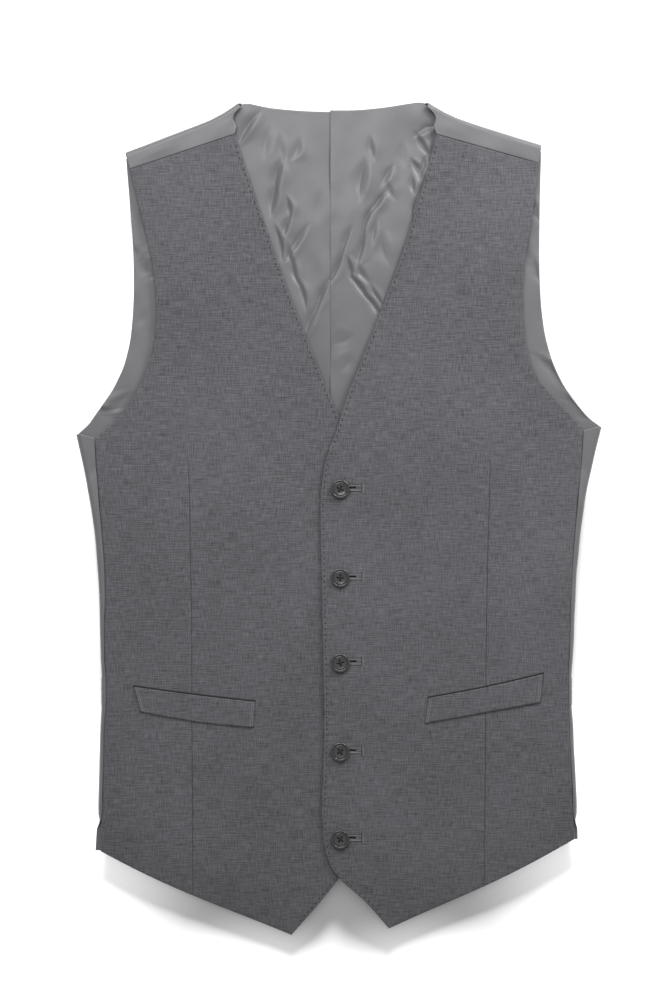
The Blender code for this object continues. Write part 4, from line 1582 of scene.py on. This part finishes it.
@dataclass
class Buttons:
    """The five sew-through buttons, turned from one outline, with crossed thread."""

    finish: bpy.types.Material
    thread: bpy.types.Material
    rings: int = 72
    hole_offset: float = 1.5
    hole_radius: float = 0.7
    turn_step: float = 0.35  # how far each button is turned on from the one above, in radians
    thread_z: float = 2.0  # height of the crossed thread over the button's underside
    strand_spread: float = 0.36  # half of the width over which its strands lie
    outline: tuple = ((0.0, 0.15), (4.6, 0.15), (5.6, 0.25), (6.6, 0.6), (7.2, 1.1), (7.5, 1.7),
                      (7.52, 2.2), (7.35, 2.65), (7.0, 2.92), (6.6, 3.0), (6.25, 2.93),
                      (6.0, 2.6), (5.8, 2.15), (5.55, 1.95), (5.3, 2.1), (5.05, 2.4),
                      (4.6, 2.28), (3.8, 2.08), (2.8, 1.92), (1.6, 1.84), (0.0, 1.8))

    def build(self, stitches: StitchRow, seats: tuple) -> None:
        """Makes the buttons and their thread.

        Args:
            stitches: What sews a row of stitches.
            seats: Each button's centre and underside as (x, y, z).
        """
        threads = []
        master = self.turned()
        for number, (x, y, z) in enumerate(seats, start=1):
            name = f"button_{number}"
            mesh = master.copy()
            points = np.empty(len(mesh.vertices) * 3)
            mesh.vertices.foreach_get("co", points)
            turn = self.turn_step * number
            ahead, aside = math.cos(turn), math.sin(turn)
            spin = np.array(((ahead, -aside, 0), (aside, ahead, 0), (0, 0, 1)))
            placed = points.reshape(-1, 3) @ spin.T + np.array((x, y, z)) * MM
            mesh.vertices.foreach_set("co", placed.ravel())
            mesh.update()
            piece(name + "_turned", mesh, self.finish, Cloth.RESIN, name)
            for diagonal in (turn + math.pi / 4, turn + 3 * math.pi / 4):
                across = np.array((-math.sin(diagonal), math.cos(diagonal)))
                off = np.linspace(-self.strand_spread, self.strand_spread, 5)
                threads.append(level(off[:, None] * across + (x, y), z + self.thread_z))
        stitches.sew("button_thread", threads, self.thread, Cloth.THREAD,
                     spacing=0.34, length=2 * self.hole_offset * math.sqrt(2) + 0.7,
                     width=0.36, rise=0.7, turn=90)

    def turned(self) -> bpy.types.Mesh:
        """The button's mesh at the origin, with its four holes."""
        line = np.array(self.outline)
        turns = np.arange(self.rings) * math.tau / self.rings
        points, faces = [(0.0, 0.0, line[0, 1])], []
        for radius, z in line[1:-1]:
            points += [(radius * math.cos(turn), radius * math.sin(turn), z) for turn in turns]
        points.append((0.0, 0.0, line[-1, 1]))
        last = len(points) - 1
        for k in range(self.rings):
            after = (k + 1) % self.rings
            faces.append((0, 1 + after, 1 + k))
            for ring in range(len(line) - 3):
                first = 1 + ring * self.rings
                faces.append((first + k, first + after, first + self.rings + after,
                              first + self.rings + k))
            first = 1 + (len(line) - 3) * self.rings
            faces.append((first + k, first + after, last))
        mesh = bpy.data.meshes.new("button")
        mesh.from_pydata((np.array(points) * MM).tolist(), [], faces)
        mesh.shade_smooth()
        return self.drilled(mesh)

    def drilled(self, mesh: bpy.types.Mesh) -> bpy.types.Mesh:
        """A mesh with four upright holes cut through it."""
        turns = np.arange(20) * math.tau / 20
        ring = np.column_stack([np.cos(turns), np.sin(turns)]) * self.hole_radius
        offsets = [(across * self.hole_offset, up * self.hole_offset)
                   for across in (-1, 1) for up in (-1, 1)]
        return cut_away(mesh, prisms([ring + offset for offset in offsets], -1.0, 5.0))


def cut_away(mesh: bpy.types.Mesh, cutter_mesh: bpy.types.Mesh) -> bpy.types.Mesh:
    """A mesh with another one cut out of it.

    Args:
        mesh: The closed mesh to cut.
        cutter_mesh: The closed mesh that is taken away.

    Returns:
        The cut mesh.
    """
    target = added("cut_target", mesh)
    cutter = added("cut_tool", cutter_mesh)
    boolean = target.modifiers.new("cut", "BOOLEAN")
    boolean.object = cutter
    boolean.operation = "DIFFERENCE"
    boolean.solver = "EXACT"
    made = settled(target)
    for helper in (target, cutter):
        bpy.data.objects.remove(helper)
    return made


# ------------------------------------------------------------------------ stage and garment


@dataclass(frozen=True)
class Panel:
    """A soft panel of light that faces the garment, in metres and watts."""

    name: str
    place: tuple
    size: tuple  # its level side and its other side
    power: float
    on_floor: bool = False  # it lights the floor alone, and otherwise all but the floor


@dataclass(frozen=True)
class Pool:
    """A soft round pool of light on the floor, with no shadow, in metres and watts."""

    name: str
    x: float
    y: float
    reach: float
    power: float
    height: float = 0.5  # of its lamp


PANELS = (
    Panel("overhead", (-0.25, 0.85, 1.05), (0.9, 0.9), 11.6),
    Panel("key", (0.6, 0.8, 0.5), (0.4, 0.4), 7.1),
    Panel("floor_sweep", (0.0, 3.8, 0.72), (1.2, 0.64), 860.0, on_floor=True),
)
POOLS = (
    Pool("left_pool", -0.275, -0.27, 0.185, 6.5),
    Pool("right_pool", 0.27, -0.26, 0.185, 6.5),
    Pool("low_left_pool", -0.07, -0.425, 0.12, 7.0),
    Pool("low_right_pool", 0.06, -0.425, 0.12, 7.0),
)


@dataclass
class Stage:
    """The pale floor, the soft lights and the camera straight above."""

    camera_x: float = -2.36
    camera_y: float = 12.0
    frame_height: float = 806.4
    frame_level: float = 8.0  # height at which the frame is that high
    lens: float = 100.0
    sensor: float = 36.0
    floor_half: float = 4000.0
    floor_drop: float = 0.3
    floor_shade: float = 0.9
    world_strength: float = 0.39
    sweep: bpy.types.Object = field(init=False)  # the light that gives the hem's shadow

    def build(self) -> None:
        """Makes the floor, the lights and the camera."""
        floor = self.floor()
        cloth_only = self.linked("cloth_light", floor, "EXCLUDE")
        floor_only = self.linked("floor_light", floor, "INCLUDE")
        for panel in PANELS:
            lamp = self.panel(panel, floor_only if panel.on_floor else cloth_only)
            if panel.on_floor:
                self.sweep = lamp
        for pool in POOLS:
            self.pool(pool, floor_only)
        self.world()
        self.camera()

    def floor(self) -> bpy.types.Object:
        """A wide sheet of pale paper just below the garment."""
        half, z = self.floor_half * MM, -self.floor_drop * MM
        corners = [(-half, -half, z), (half, -half, z), (half, half, z), (-half, half, z)]
        mesh = bpy.data.meshes.new("floor")
        mesh.from_pydata(corners, [], [(0, 1, 2, 3)])
        book = Book("floor_paper")
        place = book.node("ShaderNodeTexCoord", {}, {}, "Object")
        mottle = book.noise(place, 30.0, 2.0)
        shade = self.floor_shade
        mesh.materials.append(book.finish({
            "Base Color": book.mix(mottle, grey(shade), grey(shade + 0.01)),
            "Roughness": 0.9,
            "Specular IOR Level": 0.1,
        }))
        return added("floor", mesh)

    def world(self) -> None:
        """Gives plain white light from all round, and plain colours."""
        world = bpy.data.worlds.new("studio")
        world.use_nodes = True
        background = world.node_tree.nodes["Background"]
        background.inputs["Color"].default_value = (1, 1, 1, 1)
        background.inputs["Strength"].default_value = self.world_strength
        bpy.context.scene.world = world
        bpy.context.scene.view_settings.view_transform = "Standard"

    def camera(self) -> None:
        """Sets a camera that looks straight down."""
        data = bpy.data.cameras.new("camera")
        data.lens = self.lens
        data.sensor_width = self.sensor
        camera = added("camera", data)
        distance = self.frame_height * self.lens / self.sensor
        camera.location = Vector((self.camera_x, self.camera_y, distance + self.frame_level)) * MM
        bpy.context.scene.camera = camera

    def linked(self, name: str, floor: bpy.types.Object, state: str) -> bpy.types.Collection:
        """A list of what a light falls on: the floor alone, or everything but the floor."""
        made = bpy.data.collections.new(name)
        made.objects.link(floor)
        made.collection_objects[0].light_linking.link_state = state
        return made

    def panel(self, panel: Panel, falls_on: bpy.types.Collection) -> bpy.types.Object:
        """Adds a soft panel of light.

        Args:
            panel: Its sizes and place.
            falls_on: What it lights.

        Returns:
            The light.
        """
        data = bpy.data.lights.new(panel.name, "AREA")
        data.shape = "RECTANGLE"
        data.size, data.size_y = panel.size
        data.energy = panel.power
        made = added(panel.name, data)
        made.light_linking.receiver_collection = falls_on
        made.visible_camera = False
        made.location = panel.place
        made.rotation_euler = (-Vector(panel.place)).to_track_quat("-Z", "Y").to_euler()
        return made

    def pool(self, pool: Pool, falls_on: bpy.types.Collection) -> None:
        """Adds a lamp that looks straight down.

        Args:
            pool: Its sizes and place.
            falls_on: What it lights, and all that could block its light.
        """
        data = bpy.data.lights.new(pool.name, "SPOT")
        data.energy = pool.power
        data.spot_size = 2 * math.atan(pool.reach / pool.height)
        data.spot_blend = 1.0
        made = added(pool.name, data)
        made.light_linking.receiver_collection = falls_on
        made.light_linking.blocker_collection = falls_on
        made.location = (pool.x, pool.y, pool.height)

    def shade_floor(self, cloths: list[bpy.types.Object]) -> None:
        """Lets these cloths alone block the low light, so that its shadow follows their hem."""
        hem = bpy.data.collections.new("hem_shadow")
        for cloth in cloths:
            hem.objects.link(cloth)
        self.sweep.light_linking.blocker_collection = hem


LEFT_DART = ((121.0, 46), (119.9, -2), (119.0, -28), (118.0, -80), (117.3, -161), (116.2, -300))
RIGHT_DART = ((121.0, 46), (119.7, 17), (119.2, -22), (118.0, -80), (117.8, -145), (117.0, -310))

NECK_CREASES = (
    # left of the centre seam, from the neck down
    fold(-64, 323, -80, 302, 2.6, 1.3, 1.0),
    fold(-56, 312, -60, 290, 4.5, 0.5, 1.0),
    fold(-47, 306, -44, 286, 3.6, 0.6, 1.0),
    fold(-31, 304, -39, 288, 3.2, 0.6, -1.0),
    fold(-46, 288, -52, 262, 3.6, 1.5, 1.5),
    fold(-50, 268, -55, 244, 3.4, 1.3, 1.0),
    fold(-42, 258, -40, 240, 2.4, 1.1, -1.0),
    fold(-39, 243, -45, 224, 2.3, 1.2, 1.0),
    fold(-26, 234, -42, 208, 2.6, 1.2, 1.0),
    fold(-51, 234, -46, 208, 2.4, 1.3, -1.5),
    fold(-42, 222, -38, 204, 2.2, 0.9, 0.5),
    fold(-37, 210, -33, 188, 2.4, 1.2, 1.5),
    fold(-33, 192, -27, 168, 2.4, 1.1, -1.0),
    fold(-14, 262, -17, 238, 7.0, 0.35, 1.0),
    # across the seam
    fold(11, 236, 2, 212, 2.6, 1.2, 1.0),
    fold(3, 216, -9, 188, 2.4, 1.5, -1.0),
    fold(-8, 192, -19, 166, 2.6, 1.4, 1.0),
    fold(-17, 172, -28, 146, 3.0, 1.1, 1.0),
    # right of the seam
    fold(25, 306, 28, 288, 2.8, 0.7, 1.0),
    fold(21, 287, 16, 256, 4.6, 1.2, 1.5),
    fold(43, 283, 34, 267, 2.8, 1.1, 0.8),
    fold(38, 270, 44, 256, 3.0, 0.6, 0.8),
    fold(37, 262, 27, 246, 2.4, 1.5, 1.0),
    fold(28, 252, 19, 230, 2.5, 1.7, 1.5),
    fold(20, 235, 14, 204, 3.0, 1.4, -1.0),
    fold(30, 240, 26, 216, 2.6, 0.8, 1.0),
    fold(34, 228, 39, 204, 5.0, 0.8, 2.0),
    fold(6, 210, 10, 191, 2.3, 1.2, -1.0),
    fold(9, 195, 23, 176, 2.3, 1.4, -1.0),
    fold(21, 180, 35, 159, 2.4, 1.3, -1.0),
    fold(26, 186, 39, 166, 2.0, 1.0, 1.0),
    fold(14, 204, 24, 188, 3.0, 0.7, 1.0),
    fold(76, 315, 61, 306, 2.2, 1.3, 0.0),
    fold(61, 308, 73, 291, 2.2, 1.4, 0.6),
    fold(58, 288, 65, 272, 2.6, 1.3, -1.0),
    fold(69, 290, 66, 274, 2.6, 1.1, 0.5),
    fold(59, 276, 60, 260, 2.2, 1.0, 0.8),
    fold(63, 258, 60, 240, 2.6, 1.1, 0.8),
    fold(50, 300, 52, 282, 4.0, 0.5, 1.0),
    fold(-4, 140, 11, 147, 6.0, 0.4, 1.0),
    fold(2, 118, 10, 132, 5.0, 0.4, 1.0),
)
ARMHOLE_CREASES = (
    fold(-164, 218, -148, 192, 3.0, 1.2, 1.5),
    fold(-158, 252, -151, 216, 3.0, 0.9, -1.0),
    fold(-162, 180, -156, 150, 4.0, 0.7, 1.0),
    fold(-188, 84, -170, 100, 3.0, 1.1, 1.0),
    fold(-198, 92, -172, 76, 2.6, 0.9, 0.0),
    fold(148, 228, 160, 190, 3.0, 1.1, 1.5),
    fold(158, 132, 178, 106, 3.0, 1.2, -1.5),
    fold(180, 100, 197, 80, 2.8, 1.1, 1.0),
    fold(151, 264, 160, 238, 2.8, 0.9, 1.0),
    fold(163, 175, 166, 150, 4.0, 0.6, 1.0),
)
SIDE_DENTS = (
    Crease(184, 70, 202, 30, 7.0, -1.44, 2.0),
    Crease(186, 28, 198, -8, 6.0, 1.12, -2.0),
    Crease(182, -20, 194, -70, 6.0, -1.12, 2.0),
    Crease(180, -95, 192, -128, 5.0, 0.96, 0.0),
    Crease(182, -150, 191, -190, 6.0, -1.12, 1.0),
    Crease(184, -205, 192, -232, 5.0, 0.80, 0.0),
    Crease(88, 322, 96, 306, 4.0, 1.6, 1.0),
    Crease(112, 318, 122, 298, 5.0, -1.5, -1.0),
    Crease(134, 308, 148, 290, 5.0, 1.5, 1.0),
    Crease(74, 332, 86, 312, 4.0, -0.80, 0.0),
)
FRONT_HOLLOWS = (
    Crease(30, -60, 120, -10, 16, -0.59, 6.0),
    Crease(60, -210, 170, -170, 18, 0.51, -6.0),
    Crease(90, 180, 140, 90, 16, -0.59, 8.0),
    Crease(20, 30, 70, 95, 14, 0.51, 4.0),
    Crease(40, -250, 110, -290, 14, 0.42, 5.0),
    Crease(40, 14, 18, -12, 5, -0.68, 1.0),
    Crease(66, 60, 34, 6, 9, 0.59, -3.0),
)


class Waistcoat:
    """The whole garment, built in the order that its pieces lie on each other."""

    def __init__(self) -> None:
        """Prepares the finishes and the stitching."""
        self.wool = WoolFinish().material()
        self.satin = SatinFinish("back_satin", 0.156, roughness=0.36).material()
        self.inside = SatinFinish("lining_satin", 0.154, roughness=0.38).material()
        # Near-black thread: real on buttons, painted shade on welts, buttonholes and pick stitches.
        self.dark_thread_and_shade = ThreadFinish("thread_dark_and_shade", 0.012).material()
        self.grey_thread = ThreadFinish("thread_grey", 0.26).material()
        self.light_thread = ThreadFinish("thread_light", 0.25).material()
        self.dart_seam_shade_thread = ThreadFinish("thread_dart_seam_shade", 0.016).material()
        self.resin = ResinFinish().material()
        self.centre_seam_shade_thread = ThreadFinish("thread_centre_seam_shade", 0.07).material()
        self.metal = MetalFinish().material()
        self.stitches = StitchRow()
        self.cloths: list[bpy.types.Object] = []

    def fronts(self) -> list[Front]:
        """Makes both fronts with their welts and pick stitching."""
        made = []
        for label, side, dart, seed in (("right", -1, RIGHT_DART, 11), ("left", 1, LEFT_DART, 23)):
            slits = button_seats() if side > 0 else ()
            front = Front(label, side, self.wool, dart, FRONT_HOLLOWS, (0.24, 0.68), 0.104, seed,
                          slits=slits, edge_lift=0.8 if slits else 0.0)
            cloth = front.build()
            self.cloths.append(cloth)
            pocket = Welt(front, self.wool, self.light_thread, self.dark_thread_and_shade)
            welt = pocket.build(self.stitches)
            # Each dart in near-black thread: its seam line, with the painted shade of its groove.
            self.stitches.sew(f"dart_{label}_seam", [front.dart_path()], self.dart_seam_shade_thread,
                              Cloth.THREAD, spacing=1.25, length=1.3, width=0.5, rise=0.3)
            # Near-black, wide pick stitches: the real stitches with the painted shade of their
            # dimples.
            self.stitches.sew(f"pick_stitches_{label}", [front.edge_path(2.4, 0.02, 0.985)],
                              self.dark_thread_and_shade, Cloth.THREAD, spacing=4.7, length=1.8,
                              width=0.85, rise=0.4)
            made.append(front)
        return made

    def backs(self, fronts: list[Front]) -> None:
        """Makes the back's halves, their lining and the strap.

        Args:
            fronts: The finished fronts, right then left.
        """
        for front in fronts:
            half = BackHalf(front.label, front.side, front, self.satin, SIDE_DENTS, (0.25, 0.62),
                            0.113, front.seed + 40)
            satin = half.build()
            lining = Lining(front.label, front.side, self.inside, NECK_CREASES + ARMHOLE_CREASES,
                            (0.22, 0.6), 0.104, front.seed + 60)
            cloth = lining.build()
            band = Strap(half, self.satin).build()
            width = 0.28 if front.side > 0 else 0.125
            if front.side > 0:
                self.centre_seam(lining)

    def centre_seam(self, lining: Lining) -> None:
        """Sews the centre-back seam that shows in the neck, in dots that also paint its dip's shade.
        """
        surface = Solid(lining.mesh)
        line = np.column_stack([np.full(200, surface.low[0] + 0.35), np.linspace(75, 322, 200)])
        path = surface.lifted(line, 0.02, beside=0.6)
        # Dark dots along the seam: its stitching, with the painted shade of the seam's dip.
        self.stitches.sew("centre_back_stitches", [path], self.centre_seam_shade_thread, Cloth.THREAD,
                          spacing=2.4, length=1.6, width=0.4, rise=0.3)

    def build(self) -> None:
        """Makes every piece."""
        fronts = self.fronts()
        self.backs(fronts)
        seats = button_seats()
        Buttons(self.resin, self.dark_thread_and_shade).build(self.stitches, seats)
        buttonholes = Buttonholes(fronts[1], self.grey_thread, self.dark_thread_and_shade, self.light_thread)
        buttonholes.build(self.stitches, seats)
        self.dress("strap_slide", self.metal)
        for number in range(1, len(seats) + 1):
            self.dress(f"button_shank_{number}", self.dark_thread_and_shade)

    def dress(self, node: str, material: bpy.types.Material) -> None:
        """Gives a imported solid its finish."""
        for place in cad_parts[node].material_slots:
            place.material = material
        log.info("%s: packed solid with its own finish", node)


def main() -> None:
    """Builds the waistcoat and its stage."""
    stage = Stage()
    stage.build()
    waistcoat = Waistcoat()
    waistcoat.build()
    stage.shade_floor(waistcoat.cloths)


if __name__ == "__main__":
    main()
